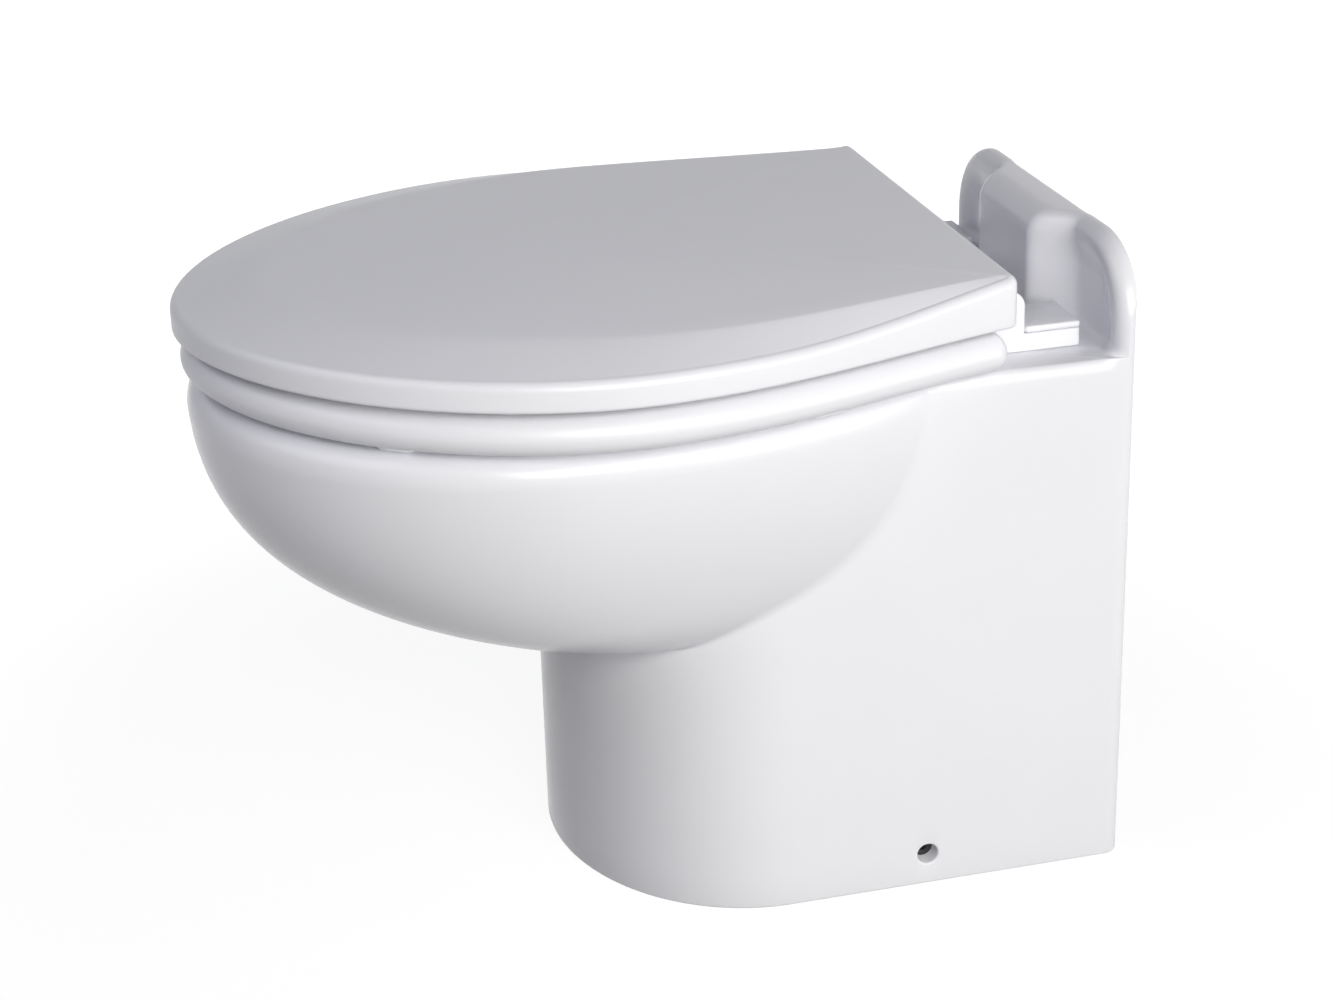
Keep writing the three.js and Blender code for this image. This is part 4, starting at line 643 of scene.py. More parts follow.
def pan_body(size):
    """Skirt and bowl as one star-shaped surface about the keel's axis: at each height the larger of the two
    radii, melted together by h^2 * blend / 4 where they come within the blend. The ledge's edge is rounded by
    a quarter circle whose radius grows where the bowl stands out from the skirt."""
    outline = skirt_outline(size)
    arm = outline - [0, -KEEL]
    own = np.linalg.norm(arm, axis=1)
    direction = arm / own[:, None]
    theta = np.linspace(0, math.pi / 2, 104)[1:]
    u = 1 - np.cos(theta) ** 0.8
    ledge, base, r = size.height, size.bowl_base, size.rim_radius
    s, c = quarter(3)
    foot = 0.0015
    plain = np.concatenate([foot * (1 - c), np.linspace(foot, base, 9)[1:]])
    z = np.concatenate([plain, base + u * (ledge - r - base), ledge - r + r * quarter(9)[0][1:]])
    share = np.clip((z - base) / (ledge - base), 0, 1)
    reach = oval_reach(bowl_oval(size, share), direction)
    h = np.maximum(size.blend - np.abs(own - reach), 0) / size.blend
    melted = np.where((z > base)[:, None], np.maximum(own, reach) + h * h * size.blend / 4, own[None])
    inset = np.concatenate([foot * (1 - s), np.zeros(len(z) - len(s))])
    fall = (ledge - z)[:, None]
    rounding = mix(r, size.bowl_rim_radius, smooth((reach[-1] - own) / 0.02))[None]
    edge = np.where(fall < rounding, rounding - np.sqrt(np.maximum(rounding ** 2 - (rounding - fall) ** 2, 0)), 0)
    away = 1 - smooth((outline[:, 1] + 0.016) / 0.009)
    melted = melted - inset[:, None] - edge * away[None]
    return loft(np.stack([melted * direction[:, 0], melted * direction[:, 1] - KEEL,
                          np.broadcast_to(z[:, None], melted.shape)], -1))


def upstand(size):
    """Arched back as a depth field over (x, z), with sections across x: a deep block in the middle that falls
    by a smooth step to thinner wings, a bead along the arch that is a smooth step too, a quarter circle rolled
    along the edge and another as a cove at the ledge."""
    half, ledge = size.half_width, size.height
    top, foot = ledge + size.upstand_height, ledge - 0.005
    arch, cove, wing, deep = 0.045, 0.006, 0.007, 0.030
    block_half, slope, bead_rise = 0.035, 0.026, 0.0045
    right = np.concatenate([np.linspace(0, half - arch, 60)[:-1], half - arch + arch * quarter(40)[0]])
    x = np.concatenate([-right[:0:-1], right])[:, None]
    over = np.maximum(np.abs(x) - half + arch, 0)
    crest = top - arch + np.sqrt(np.maximum(arch ** 2 - over ** 2, 0))
    share = np.concatenate([np.linspace(0, 0.2, 14)[:-1], mix(0.2, 1, np.sin(np.linspace(0, math.pi / 2, 64)))])
    z = foot + (crest - foot) * share[None]
    rise = z - (top - arch)
    corner = (over > 0) & (rise > 0)
    side = half - np.abs(x)
    edge = np.where(corner, arch - np.hypot(over, rise), np.minimum(side, top - z))
    edge = np.maximum(edge, 0)
    block = 1 - smooth((np.abs(x) - block_half) / slope)
    bead = bead_rise * (1 - smooth((edge - 0.010) / 0.018))
    radius = mix(0.008, 0.015, block)
    near = 1 - np.minimum(edge / radius, 1)
    roll = radius * (1 - np.sqrt(1 - near * near))
    low = 1 - np.clip((z - ledge) / cove, 0, 1)
    fillet = cove * smooth(side / 0.010) * (1 - np.sqrt(1 - low * low))
    depth = np.maximum(mix(wing + bead, deep, block) - roll + fillet, 0.001)
    front = np.stack([np.broadcast_to(x, z.shape), -depth, z], -1)
    s, c = quarter(4)
    back = np.minimum(0.004, 0.7 * depth[:, -1:])
    back_top = np.stack([np.broadcast_to(x, (len(x), 5)), back * (s - 1), crest - back * (1 - c)], -1)
    back_foot = np.stack([x[:, 0], np.zeros(len(x)), np.full(len(x), foot)], -1)[:, None]
    arched = loft(np.concatenate([front, back_top, back_foot], 1))
    plan = skirt_outline(size)
    column = loft([level(plan, height) for height in (0.1, top + 0.01)])
    return carve(arched, column, operation="INTERSECT")


def basin_oval(size, u, wall=0.0):
    """Inside plan at height share u: round sump below, egg above, with a smooth step between."""
    t = smooth((u - 0.12) / 0.7)
    return (mix(0.038, size.bowl_half_width - 0.022, t) + wall, mix(0.251, size.bowl_front - 0.019, t) + wall,
            mix(0.213, 0.290, t), mix(0.175, 0.106, t) - wall)


def oval_rings(oval, z, count=160):
    """Rings of an egg of two half ellipses, at the given heights."""
    half_width, front, centre, rear = (np.reshape(v, (-1, 1)) for v in np.broadcast_arrays(*oval, z)[:4])
    angle = np.arange(count)[None] * 2 * math.pi / count
    span = np.where(np.sin(angle) < 0, front - centre, centre - rear)
    return np.stack(np.broadcast_arrays(half_width * np.cos(angle), -centre + span * np.sin(angle),
                                        np.reshape(z, (-1, 1))), -1)


def basin_void(size):
    """Room inside the bowl: basin, the undercut of the rim as a quarter ellipse, the mouth and its flare."""
    top = size.height - size.rim_depth
    u = np.linspace(0, 1, 60)
    basin = oval_rings(basin_oval(size, u), mix(size.sump_floor, top, u))
    mouth = np.array([size.bowl_half_width - 0.042, size.bowl_front - 0.037, 0.295, 0.122])
    egg = np.array([float(v) for v in basin_oval(size, np.float64(1.0))])
    s, c = quarter(10)
    under = oval_rings(mix(egg[:, None], mouth[:, None], (1 - c)[None]), top + 0.012 * s)[1:]
    flare = 0.005 * (1 - c)
    grow = np.stack([flare, flare, flare * 0, -flare])
    lip = oval_rings(mouth[:, None] + grow, size.height - 0.005 + 0.005 * s)
    over = oval_rings(mouth[:, None] + grow[:, -1:], np.array([size.height + 0.004]))
    return loft(np.concatenate([basin, under, lip, over]))


def pan_hollow(size):
    """Room inside the pedestal, open below and behind, less the basin's shell and its spigot."""
    inner = skirt_outline(size, size.wall)
    inner[:, 1] = np.where(inner[:, 1] > -size.wall - 0.008, 0.004, inner[:, 1])
    room = loft([level(inner, z) for z in (-0.004, size.height - 0.010)])
    foot, top = size.sump_floor - 0.009, size.height - size.rim_depth
    u = np.linspace(0, 1, 50)
    shell = oval_rings(basin_oval(size, u, 0.009), mix(foot, top, u))
    cap = oval_rings(basin_oval(size, np.float64(1.0), 0.009), np.array([size.height - 0.005]))
    spigot = rod(0.025, foot - 0.015, size.sump_floor, "z", (0, OUTLET_Y, 0), 0.001)
    return carve(room, loft(np.concatenate([shell, cap])), spigot)


def inside_hollow(size, centres):
    """True for face centres on the walls of the hollow: inside the skirt's inner face and under the ledge,
    but outside the basin's shell."""
    x, y, z = centres.T
    half = size.half_width - size.wall + 0.0004
    nose = (x / half) ** 2 + ((y + size.straight) / (size.nose - size.wall + 0.0004)) ** 2 < 1
    room = (np.abs(x) < half) & (z < size.height - 0.0096) & (nose | (y > -size.straight)) & (y < -0.001)
    u = np.clip((z - size.sump_floor) / (size.height - size.rim_depth - size.sump_floor), 0, 1)
    half_width, front, centre, rear = basin_oval(size, u, 0.004)
    span = np.where(y < -centre, front - centre, centre - rear)
    shell = ((x / half_width) ** 2 + ((y + centre) / span) ** 2 < 1) & (z > size.sump_floor - 0.004)
    outlet = np.hypot(x, y - OUTLET_Y) < 0.0215
    return room & ~shell & ~outlet


def flared_hole(radius, low, high, face, axis, at, flare=0.0012):
    """Hole cutter with a rounded mouth at the height called face."""
    s, c = quarter(4)
    ring = np.stack([radius + flare * (1 - c), face - flare + flare * s], -1)
    return lathe(np.vstack([[0, low], [radius, low], ring, [radius + flare, high], [0, high]]), axis, at, 48)


def make_pan(size):
    """Whole pan with its outlet, rinse inlet, bolt holes and side holes, and with bisque inside its hollow."""
    floor = size.sump_floor
    pan = carve(joined(pan_body(size), upstand(size)), pan_hollow(size), basin_void(size),
                flared_hole(0.019, 0.05, floor + 0.004, floor, "z", (0, OUTLET_Y, 0), 0.004),
                bore(0.0141, -0.110, -0.090, "y", (0, 0, size.height - 0.046)))
    for _, side in SIDES:
        hole = flared_hole(0.006, 0.110, 0.130, size.half_width, "x", (0, *SIDE_HOLE))
        pan = carve(pan, bore(0.0035, 0.288, 0.306, "z", (side * BOLT_X, BOLT_Y, 0)),
                    mirrored(hole) if side < 0 else hole)
    piece("pan", pan, "china", 30)
    pan.materials.append(FINISHES["bisque"])
    centres = np.empty(len(pan.polygons) * 3)
    pan.polygons.foreach_get("center", centres)
    dry = inside_hollow(size, centres.reshape(-1, 3) - [0, BACK, 0])
    pan.polygons.foreach_set("material_index", dry.astype(np.int32))


# ---- Seat and lid ----


def cover_half(size, inset):
    """Right half of the lid's plan, from back to front: the bow sin(pi/2 t^1.18) along the side, then a
    superellipse of power 1.84, moved inwards along its normals and cut off at the back edge."""
    share = size.widest / size.length
    t = np.linspace(0, 1, 700)
    side = np.stack([mix(size.back_half_width, size.half_width, np.sin(math.pi / 2 * t ** 1.18)),
                     -size.rear - size.length * share * t], -1)
    a = np.linspace(0, math.pi / 2, 900)[1:]
    power = 2 / 1.84
    front = np.stack([size.half_width * np.maximum(np.cos(a), 0) ** power,
                      -size.rear - size.length * (share + (1 - share) * np.sin(a) ** power)], -1)
    line = np.vstack([side, front])
    line[-1, 0] = 0
    slope = np.gradient(line, axis=0)
    normal = np.stack([slope[:, 1], -slope[:, 0]], -1)
    normal /= np.linalg.norm(normal, axis=1)[:, None]
    normal[-1] = (0, 1)
    moved = line + normal * inset
    moved[:, 0] = np.maximum(moved[:, 0], 0)
    moved[-1, 0] = 0
    keep = moved[:, 1] <= -size.rear - inset
    return moved[keep]


def cover_outline(size, inset=0.0, count=150, corner=None):
    """Closed plan of lid or seat, even along each half, with rounded back corners."""
    corner = size.corner if corner is None else corner
    half = cover_half(size, inset)
    run = run_of(half)
    reach = max(corner - inset, 0.0008)
    where = np.linspace(reach, run[-1], count)
    right = np.stack([np.interp(where, run, half[:, k]) for k in (0, 1)], -1)
    back_y = -size.rear - inset
    top = np.array([half[0, 0], back_y])
    start = np.array([top[0] - reach, back_y])
    t = np.linspace(0, 1, 9)[:, None]
    arc = (1 - t) ** 2 * start + 2 * t * (1 - t) * top + t * t * right[0]
    side = np.vstack([arc, right[1:]])
    back = np.linspace(start[0], -start[0], 26)[1:-1]
    left = side[:-1][::-1] * [-1, 1]
    return np.vstack([side, left, np.stack([-back, np.full(back.shape, back_y)], -1)])


def lid_shell(size):
    """Lid as one surface from the middle of its underside round the edge to the middle of its top. From edge
    to middle u runs from 1 over 0 at the crease to -4, and the face lies below its middle by
    crown (1 + u/4)^2 plus a ramp past the crease, rounded over a seventh of u, that ends at the drop.
    Towards the straight back edge that fall dies out and the border narrows evenly. The face also rises from
    the back edge. Fall and rise follow the sine of the distance from it, and are whole from 0.7 of the way to
    the widest part."""
    outer = cover_outline(size)
    forward = np.maximum(-outer[:, 1] - size.rear, 0) / size.widest
    soft, border, least = 0.7, 0.2, 0.08     # reach of the fade; the border's share, and what is left of it behind
    fade = np.sin(math.pi / 2 * np.minimum(forward / soft, 1))
    crease = border * mix(least, 1, np.minimum(forward / 1.18, 1))
    middle = np.array([0, -size.rear - size.widest])
    rings = []

    def ring(inset, z, part=0.0, share=0.0, drop=size.drop):
        """Adds the plan, drawn towards the middle by a share, at a height with part of the rise and fall."""
        plan = mix(cover_outline(size, inset), middle, np.reshape(share, (-1, 1)))
        ahead = np.clip((-plan[:, 1] - size.rear) / size.widest / soft, 0, 1)
        rings.append(np.column_stack([plan, z + part * (size.rise * np.sin(math.pi / 2 * ahead) - drop * fade)]))

    def face(inset, z, u):
        """Adds the ring of the upper or lower face at u."""
        ramp = (size.drop - size.crown * 25 / 16) * (u + math.sqrt(u * u + 0.02)) / 2
        share = crease * (1 - u) if u > 0 else mix(crease, 1, -u / 4)
        ring(inset, z, 1.0, share, size.crown * (1 + u / 4) ** 2 + ramp)

    low, top, wall, skin, r, hollow = size.lid_bottom, size.lid_top, 0.008, 0.005, 0.005, 0.003
    steps = np.concatenate([np.linspace(0.999, 0.25, 7), np.linspace(0.2, -0.2, 17), np.linspace(-0.4, -3.9, 12)])
    for u in steps[::-1]:
        face(wall + hollow, top - skin, u)
    s, c = quarter(4)
    for k in range(5):
        ring(wall + hollow * (1 - s[k]), top - skin - hollow * (1 - c[k]), 1.0)
    for k in range(4):
        ring(wall - 0.001 * (1 - c[k]), low + 0.001 * (1 - s[k]))
    for k in range(5):
        ring(0.0018 * (1 - s[k]), low + 0.0018 * (1 - c[k]))
    for height in (0.006, 0.010, 0.014):
        ring(0, low + height, height / (top - r - low))
    for a in np.linspace(0, math.pi / 2, 9):
        ring(r * (1 - math.cos(a)), top - r * (1 - math.sin(a)), 1.0)
    for u in steps:
        face(r, top, u)
    peak = top + size.rise
    return loft(rings, [[0, middle[1], peak - skin], [0, middle[1], peak]])


EYE = 0.008           # outer radius of the eyes round the hinge pins


def lug(hinge, low, high, tail):
    """Eye round the pin with a tongue to the tail points, as a slab across x."""
    angle = np.linspace(-0.5, 0.5, 25) * math.pi
    eye = np.stack([EYE * np.cos(angle) - hinge.from_rear, hinge.height + EYE * np.sin(angle)], -1)
    return slab(np.vstack([eye, tail]), low, high, "x", 0.0008)


def pin_bore(hinge, low, high):
    """Cutter for a pin's hole between two distances from the middle."""
    return bore(hinge.pin_radius + GAP, low, high, "x", (0, -hinge.from_rear, hinge.height))


def make_lid(size, hinge):
    """Lid with its two hinge lugs, and a round boss from its skin down to each pad, bored for the peg. A boss
    ends 4 mm under the highest point of the lid near it, which lies inside the skin."""
    lid = lid_shell(size)
    tops = np.empty(len(lid.vertices) * 3)
    lid.vertices.foreach_get("co", tops)
    tops = tops.reshape(-1, 3)
    bottom = size.lid_bottom
    for row in ("rear", "front"):
        for name, _ in SIDES:
            place = np.mean(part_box(f"lid_buffer_{row}_{name}"), axis=0)[:2]
            near = np.hypot(*(tops[:, :2] - place).T) < 0.006
            at = (*(place - [0, BACK]), 0)
            lid = joined(lid, rod(0.005, bottom, tops[near, 2].max() - 0.004, "z", at, GAP))
            lid = carve(lid, bore(0.002, bottom - 0.004, bottom + 0.0063, "z", at))
    back, y = -size.rear, -hinge.from_rear
    tail = [[y, hinge.height + EYE], [back, bottom + 0.012], [back - 0.002, bottom + 0.012],
            [back - 0.002, bottom + 0.001], [back, bottom + 0.001], [y, hinge.height - EYE]]
    for _, side in SIDES:
        low, high = sorted((side * 0.074, side * 0.085))
        lid = carve(joined(lid, lug(hinge, low, high, tail)), pin_bore(hinge, low - 0.003, high + 0.003))
    piece("lid", lid, "resin", 28)


def make_seat(size, hinge):
    """Seat ring: plan outline outside and an egg-shaped opening inside. Its outer edge is a quarter circle
    below and a wide quarter ellipse above, its upper face falls slightly towards the opening, and its inner
    edge is a half ellipse."""
    inset, corner, fall = 0.003, 0.012, 0.0028
    foot, shoulder, tall, lip = 0.010, 0.016, 0.0125, 0.008
    bottom, top = size.seat_bottom, size.seat_bottom + size.seat_thickness
    height, mid = size.seat_thickness / 2, (bottom + top) / 2
    half_width, front, centre, rear = size.half_width - 0.0775, size.rear + size.length - 0.057, 0.305, 0.172
    local = cover_outline(size, inset, corner=0.004) + [0, centre]
    span = np.where(local[:, 1] < 0, front - centre, centre - rear)
    inner = local / np.hypot(local[:, 0] / half_width, local[:, 1] / span)[:, None]
    away = np.linalg.norm(inner, axis=1)[:, None]

    def outside(more, z):
        """Outer plan, further in by more."""
        return level(cover_outline(size, inset + more, corner=corner), z)

    def inside(more, z):
        """Plan of the opening, wider by more."""
        return level(inner * (away + more) / away - [0, centre], z)

    s, c = quarter(6)
    rings = [outside(foot * (1 - s[k]), bottom + foot * (1 - c[k])) for k in range(len(s))]
    rings += [outside(0, mix(bottom + foot, top - tall, share)) for share in (0.35, 0.7)]
    rings += [outside(shoulder * (1 - math.cos(a)), top - tall * (1 - math.sin(a)))
              for a in np.linspace(0, math.pi / 2, 17)]
    edge, brink = outside(shoulder, 0)[:, :2], inside(lip, 0)[:, :2]
    rings += [level(mix(edge, brink, t), top - fall * smooth(t)) for t in np.linspace(0, 1, 12)[1:-1]]
    rings += [inside(lip * (1 - math.cos(a)), mid + height * math.sin(a) - fall * max(math.sin(a), 0))
              for a in np.linspace(math.pi / 2, -math.pi / 2, 21)]
    seat = loft(rings, closed=True)
    y, z, back = -hinge.from_rear, hinge.height, -size.rear - inset
    tail = [[y, z + EYE], [y - 0.004, z + 0.0045], [back - 0.010, z - 0.0012], [back - 0.010, bottom + 0.012],
            [y - 0.002, z - EYE]]
    for _, side in SIDES:
        low, high = sorted((side * 0.062, side * 0.073))
        seat = carve(joined(seat, lug(hinge, low, high, tail)), pin_bore(hinge, low - 0.002, high + 0.002))
    piece("seat", seat, "resin", 28)


def make_hinges(hinge):
    """Foot with its post and cap, pin, and the bolt, washer and nut under the ledge, for both sides."""
    y, z, outer, foot, arm = -hinge.from_rear, hinge.height, hinge.side, hinge.foot_top, 0.0085
    rear, base_z = -0.023, LEDGE + GAP
    for name, side in SIDES:
        def span(a, b):
            """Two distances from the middle as low and high x on this side."""
            return sorted((side * a, side * b))

        at = (side * BOLT_X, BOLT_Y, 0)
        wide = span(0.0625, outer)
        angle = np.linspace(0, math.pi, 25)
        arch = np.stack([y + arm * np.cos(angle), z + arm * np.sin(angle)], -1)
        arch = np.vstack([arch, [[y - arm, base_z], [y + arm, base_z]]])
        post = slab(arch, *span(outer - 0.0125, outer), "x", 0.0012)
        base = joined(slab(oblong(*wide, y, rear, 0.0025), base_z, foot, "z", 0.0009), post)
        base = carve(base, bore(0.0073, foot - 0.0048, foot + 0.004, "z", at),
                     bore(0.0035, LEDGE - 0.004, foot, "z", at),
                     pin_bore(hinge, *span(outer - 0.0165, outer - 0.0015)))
        piece(f"hinge_base_{name}", base, "nylon")
        cap = slab(oblong(*wide, y + arm + GAP, rear, 0.0022), foot + GAP, foot + 0.004, "z", 0.0012)
        piece(f"hinge_cap_{name}", cap, "nylon")
        inner, on_pin = 0.0602, (0, y, z)
        pin = gathered(rod(hinge.pin_radius, *span(inner, outer - 0.0018), "x", on_pin),
                       rod(0.005, *span(inner - 0.0015, inner), "x", on_pin, 0.0005))
        piece(f"hinge_pin_{name}", pin, "steel")
        top = foot - GAP
        piece(f"hinge_bolt_{name}", threaded(0.003, 0.2778, top - 0.003, at, 0.007, top), "steel")
        piece(f"hinge_washer_{name}", sleeve(0.009, 0.0034, 0.2901, 0.2917, "z", at, 0.0002), "steel")
        nut = carve(rod(0.0065, 0.2838, 0.2898, "z", at, 0.0008, 6), bore(0.0032, 0.28, 0.295, "z", at))
        piece(f"hinge_nut_{name}", nut, "steel", 20)


def threaded(radius, low, high, at, head_radius, head_top, pitch=0.001):
    """Machine screw along z: a row of rounded ridges one pitch apart, and a domed head with a slot."""
    turns = np.arange(low + pitch, high, pitch / 2)
    ridge = radius - 0.00035 * (np.arange(len(turns)) % 2)
    shank = lathe(np.vstack([[0, low], [radius - 0.0006, low], np.stack([ridge, turns], -1), [radius, high],
                             [0, high]]), "z", at, 32)
    s, c = quarter(5)
    dome = np.stack([head_radius * c, head_top - 0.0018 + 0.0018 * s], -1)[:-1]
    head = lathe(np.vstack([[0, high - 0.0002], [head_radius - 0.0004, high - 0.0002], [head_radius, high + 0.0003],
                            dome, [0, head_top]]), "z", at, 48)
    plan = oblong(at[0] - head_radius, at[0] + head_radius, at[1] - 0.0006, at[1] + 0.0006, EDGE)
    return gathered(shank, carve(head, slab(plan, head_top - 0.0014, head_top + 0.002, "z", EDGE)))


# Name, width, thickness, radius of the peg, finish.
PADS = (("seat_buffer", 0.012, 0.0027, 0.002, "nylon"), ("lid_buffer", 0.007, 0.0024, 0.0016, "pale_rubber"))


def make_pads():
    """Seat and lid pads: two half rounds joined by a straight run, with rounded rims, and a peg above. Place,
    run and lean come from the pad's box, whose sides are the run's two shares plus the pad's width."""
    a = np.linspace(-math.pi / 2, math.pi / 2, 17)[:, None]
    for kind, wide, thick, peg, finish in PADS:
        for row, lean in (("rear", 1.0), ("front", -1.0)):
            for name, side in SIDES:
                node = f"{kind}_{row}_{name}"
                low, high = np.array(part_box(node))
                place = (low + high)[:2] / 2 - [0, BACK]
                run = (high - low)[:2] - wide
                reach = np.hypot(*run) / 2
                along = run / (2 * reach) * [lean * side, -1]
                end = (reach + wide / 2 * np.cos(a)) * along + wide / 2 * np.sin(a) * along[::-1] * [-1, 1]
                pad = slab(np.vstack([end, -end]) + place, low[2], low[2] + thick, "z", 0.0009)
                stem = rod(peg, low[2] + thick / 2, high[2], "z", (*place, 0), 0.0004)
                piece(node, gathered(pad, stem), finish)


# ---- Floor fixings, drain and pump ----


def make_fixings(pan):
    """Angle brackets behind the side holes, each with a rib at both ends, and their hexagon screws."""
    outer = pan.half_width - pan.wall - GAP
    inner, front, back, tall, thick = outer - 0.030, -0.1386, -0.0946, 0.034, 0.0075
    x, y = inner + 0.012, SIDE_HOLE[0]
    s, c = quarter(12)
    angle = rounded([(inner, 0), (outer, 0), (outer, tall), (outer - thick, tall), (outer - thick, thick),
                     (inner, thick)], [0.0008, 0.0008, 0.0008, 0.0008, 0.004, 0.0008])
    web = np.vstack([[(inner, 0), (outer, 0), (outer, tall)],
                     np.stack([outer - thick - 0.0225 * (1 - c), thick + 0.0265 * (1 - s)], -1)])
    for name, side in SIDES:
        ribs = [slab(web, a, b, "y", 0.0004) for a, b in ((front, front + 0.006), (back - 0.006, back))]
        bracket = carve(joined(slab(angle, front, back, "y", 0.0006), *ribs),
                        bore(0.0033, -0.004, tall, "z", (x, y, 0)),
                        bore(0.003, outer - 0.015, outer + 0.004, "x", (0, *SIDE_HOLE)))
        screw = gathered(rod(0.003, 0, 0.0081, "z", (x, y, 0)), rod(0.0066, 0.0078, 0.0093, "z", (x, y, 0), 0.0004),
                         rod(0.0058, 0.0091, 0.0113, "z", (x, y, 0), 0.0005, 6))
        if side < 0:
            bracket, screw = mirrored(bracket), mirrored(screw)
        piece(f"floor_bracket_{name}", bracket, "black_nylon")
        piece(f"floor_screw_{name}", screw, "steel", 20)


def clamp(radius, low, high, axis, at, screw_turn):
    """Worm-drive band: a thin sleeve, and the screw's housing beside it as a flattened rod."""
    band = sleeve(radius + 0.0012, radius, low, high, axis, at, 0.0003)
    u, v, w = AXES[axis]
    out = math.cos(screw_turn) * u + math.sin(screw_turn) * v
    centre = np.array(at, float) + out * (radius + 0.0030) + w * (low + high) / 2
    turn = np.linspace(0, 2 * math.pi, 25)[:-1]
    ends = np.array([-0.007, -0.0066, 0.0066, 0.007])
    size = np.array([0.0024, 0.0028, 0.0028, 0.0024])
    ring = np.cos(turn)[None, :, None] * out + np.sin(turn)[None, :, None] * w * 1.3
    return gathered(band, loft(centre + ring * size[:, None, None] + ends[:, None, None] * np.cross(w, out)))


def make_drain(pump):
    """Rubber elbow from the sump to the pump with a bead at each end, and its two band clamps."""
    z, band = pump.axis_height, 0.0299
    path = bend([(0, OUTLET_Y, 0.1033), (0, OUTLET_Y, z), (0, -0.1617, z)], 0.030, 22, 10)
    run = run_of(path)
    outer = 0.0288 + 0.0007 * np.exp(-((np.minimum(run, run[-1] - run) - 0.0015) / 0.0012) ** 2)
    piece("bowl_outlet_elbow", tube(path, outer, 0.0253, 64), "black_rubber")
    piece("elbow_clamp_upper", clamp(band, 0.0935, 0.1015, "z", (0, OUTLET_Y, 0), 1.2), "steel")
    piece("elbow_clamp_lower", clamp(band, -0.1725, -0.1645, "y", (0, 0, z), 0.6), "steel")


def make_pump(pump):
    """Macerator housing, back plate, seal, rotor with blades and impeller."""
    z, r = pump.axis_height, pump.housing_radius
    at, port_at, shaft = (0, 0, z), (pump.port_side, -0.140, 0), 0.0043
    body = joined(rod(r, -0.160, -0.120, "y", at, 0.004, 96), rod(0.025, -0.177, -0.156, "y", at, 0.001, 96),
                  rod(0.019, z, 0.108, "z", port_at, 0.001, 96))
    body = carve(body, bore(r - 0.004, -0.156, -0.116, "y", at, 96), bore(0.0195, -0.181, -0.152, "y", at, 96),
                 bore(0.015, z, 0.112, "z", port_at, 96))
    piece("macerator_housing", body, "black_nylon")
    front, step, rear = -0.1257, -0.1197, -0.1143
    plate = lathe([(0.0083, front), (0.0377, front), (0.0377, step), (r - 0.0006, step), (r, step + 0.0006),
                   (r, rear - 0.0006), (r - 0.0006, rear), (0.0083, rear)], "y", at, 96)
    piece("pump_back_plate", plate, "black_nylon")
    piece("shaft_seal", sleeve(0.008, shaft, front, rear, "y", at), "black_rubber")
    piece("rotor_shaft", rod(0.004, -0.1685, -0.045, "y", at), "steel")
    blades = [carve(rod(0.009, -0.1645, -0.1555, "y", at), bore(shaft, -0.17, -0.15, "y", at))]
    plan = rounded([(0.006, -0.0045), (0.0185, -0.0030), (0.0185, 0.0040), (0.006, 0.0045)], 0.001)
    for turn in (0, math.pi):
        blade = slab(plan, -0.0011, 0.0011, "z", 0.0004)
        blades.append(placed(blade, (0, -0.160, z), (turn, "Y"), (math.pi / 6, "X")))
    piece("chopper_blades", gathered(*blades), "steel")
    disc, hub = -0.146, -0.155
    wheel = [carve(part, bore(shaft, -0.17, -0.13, "y", at)) for part in (
        rod(0.033, disc, disc + 0.004, "y", at, 0.0006, 96), rod(0.009, hub, disc + 0.0005, "y", at))]
    reach = np.linspace(0.0085, 0.0300, 20)
    swing = 0.5 * (reach - 0.0085) / 0.0215
    line = np.stack([reach * np.cos(swing), reach * np.sin(swing)], -1)
    across = np.stack([-np.gradient(line[:, 1]), np.gradient(line[:, 0])], -1)
    across *= 0.0013 / np.linalg.norm(across, axis=1)[:, None]
    for turn in np.arange(pump.vanes) * 2 * math.pi / pump.vanes:
        vane = slab(np.vstack([line + across, (line - across)[::-1]]), 0, 0.0092, "z", 0.0003)
        wheel.append(placed(vane, (0, hub, z), (turn, "Y"), (-math.pi / 2, "X")))
    piece("impeller", gathered(*wheel), "grey_acetal")


STRAPS = (("front", -0.09376), ("rear", -0.04224))   # y of the motor's straps and of the saddles under them
TIE = 0.022           # distance of the tie bolts from the shaft


def saddle(radius, z, angle, half_width, low=0.0087):
    """Profile of a support with a round bed for a can of this radius, down to its foot."""
    bed = np.stack([radius * np.sin(angle), z - radius * np.cos(angle)], -1)[::-1]
    rim = bed[-1, 1]
    return np.vstack([bed, [[-half_width, rim], [-half_width, low], [half_width, low], [half_width, rim]]])


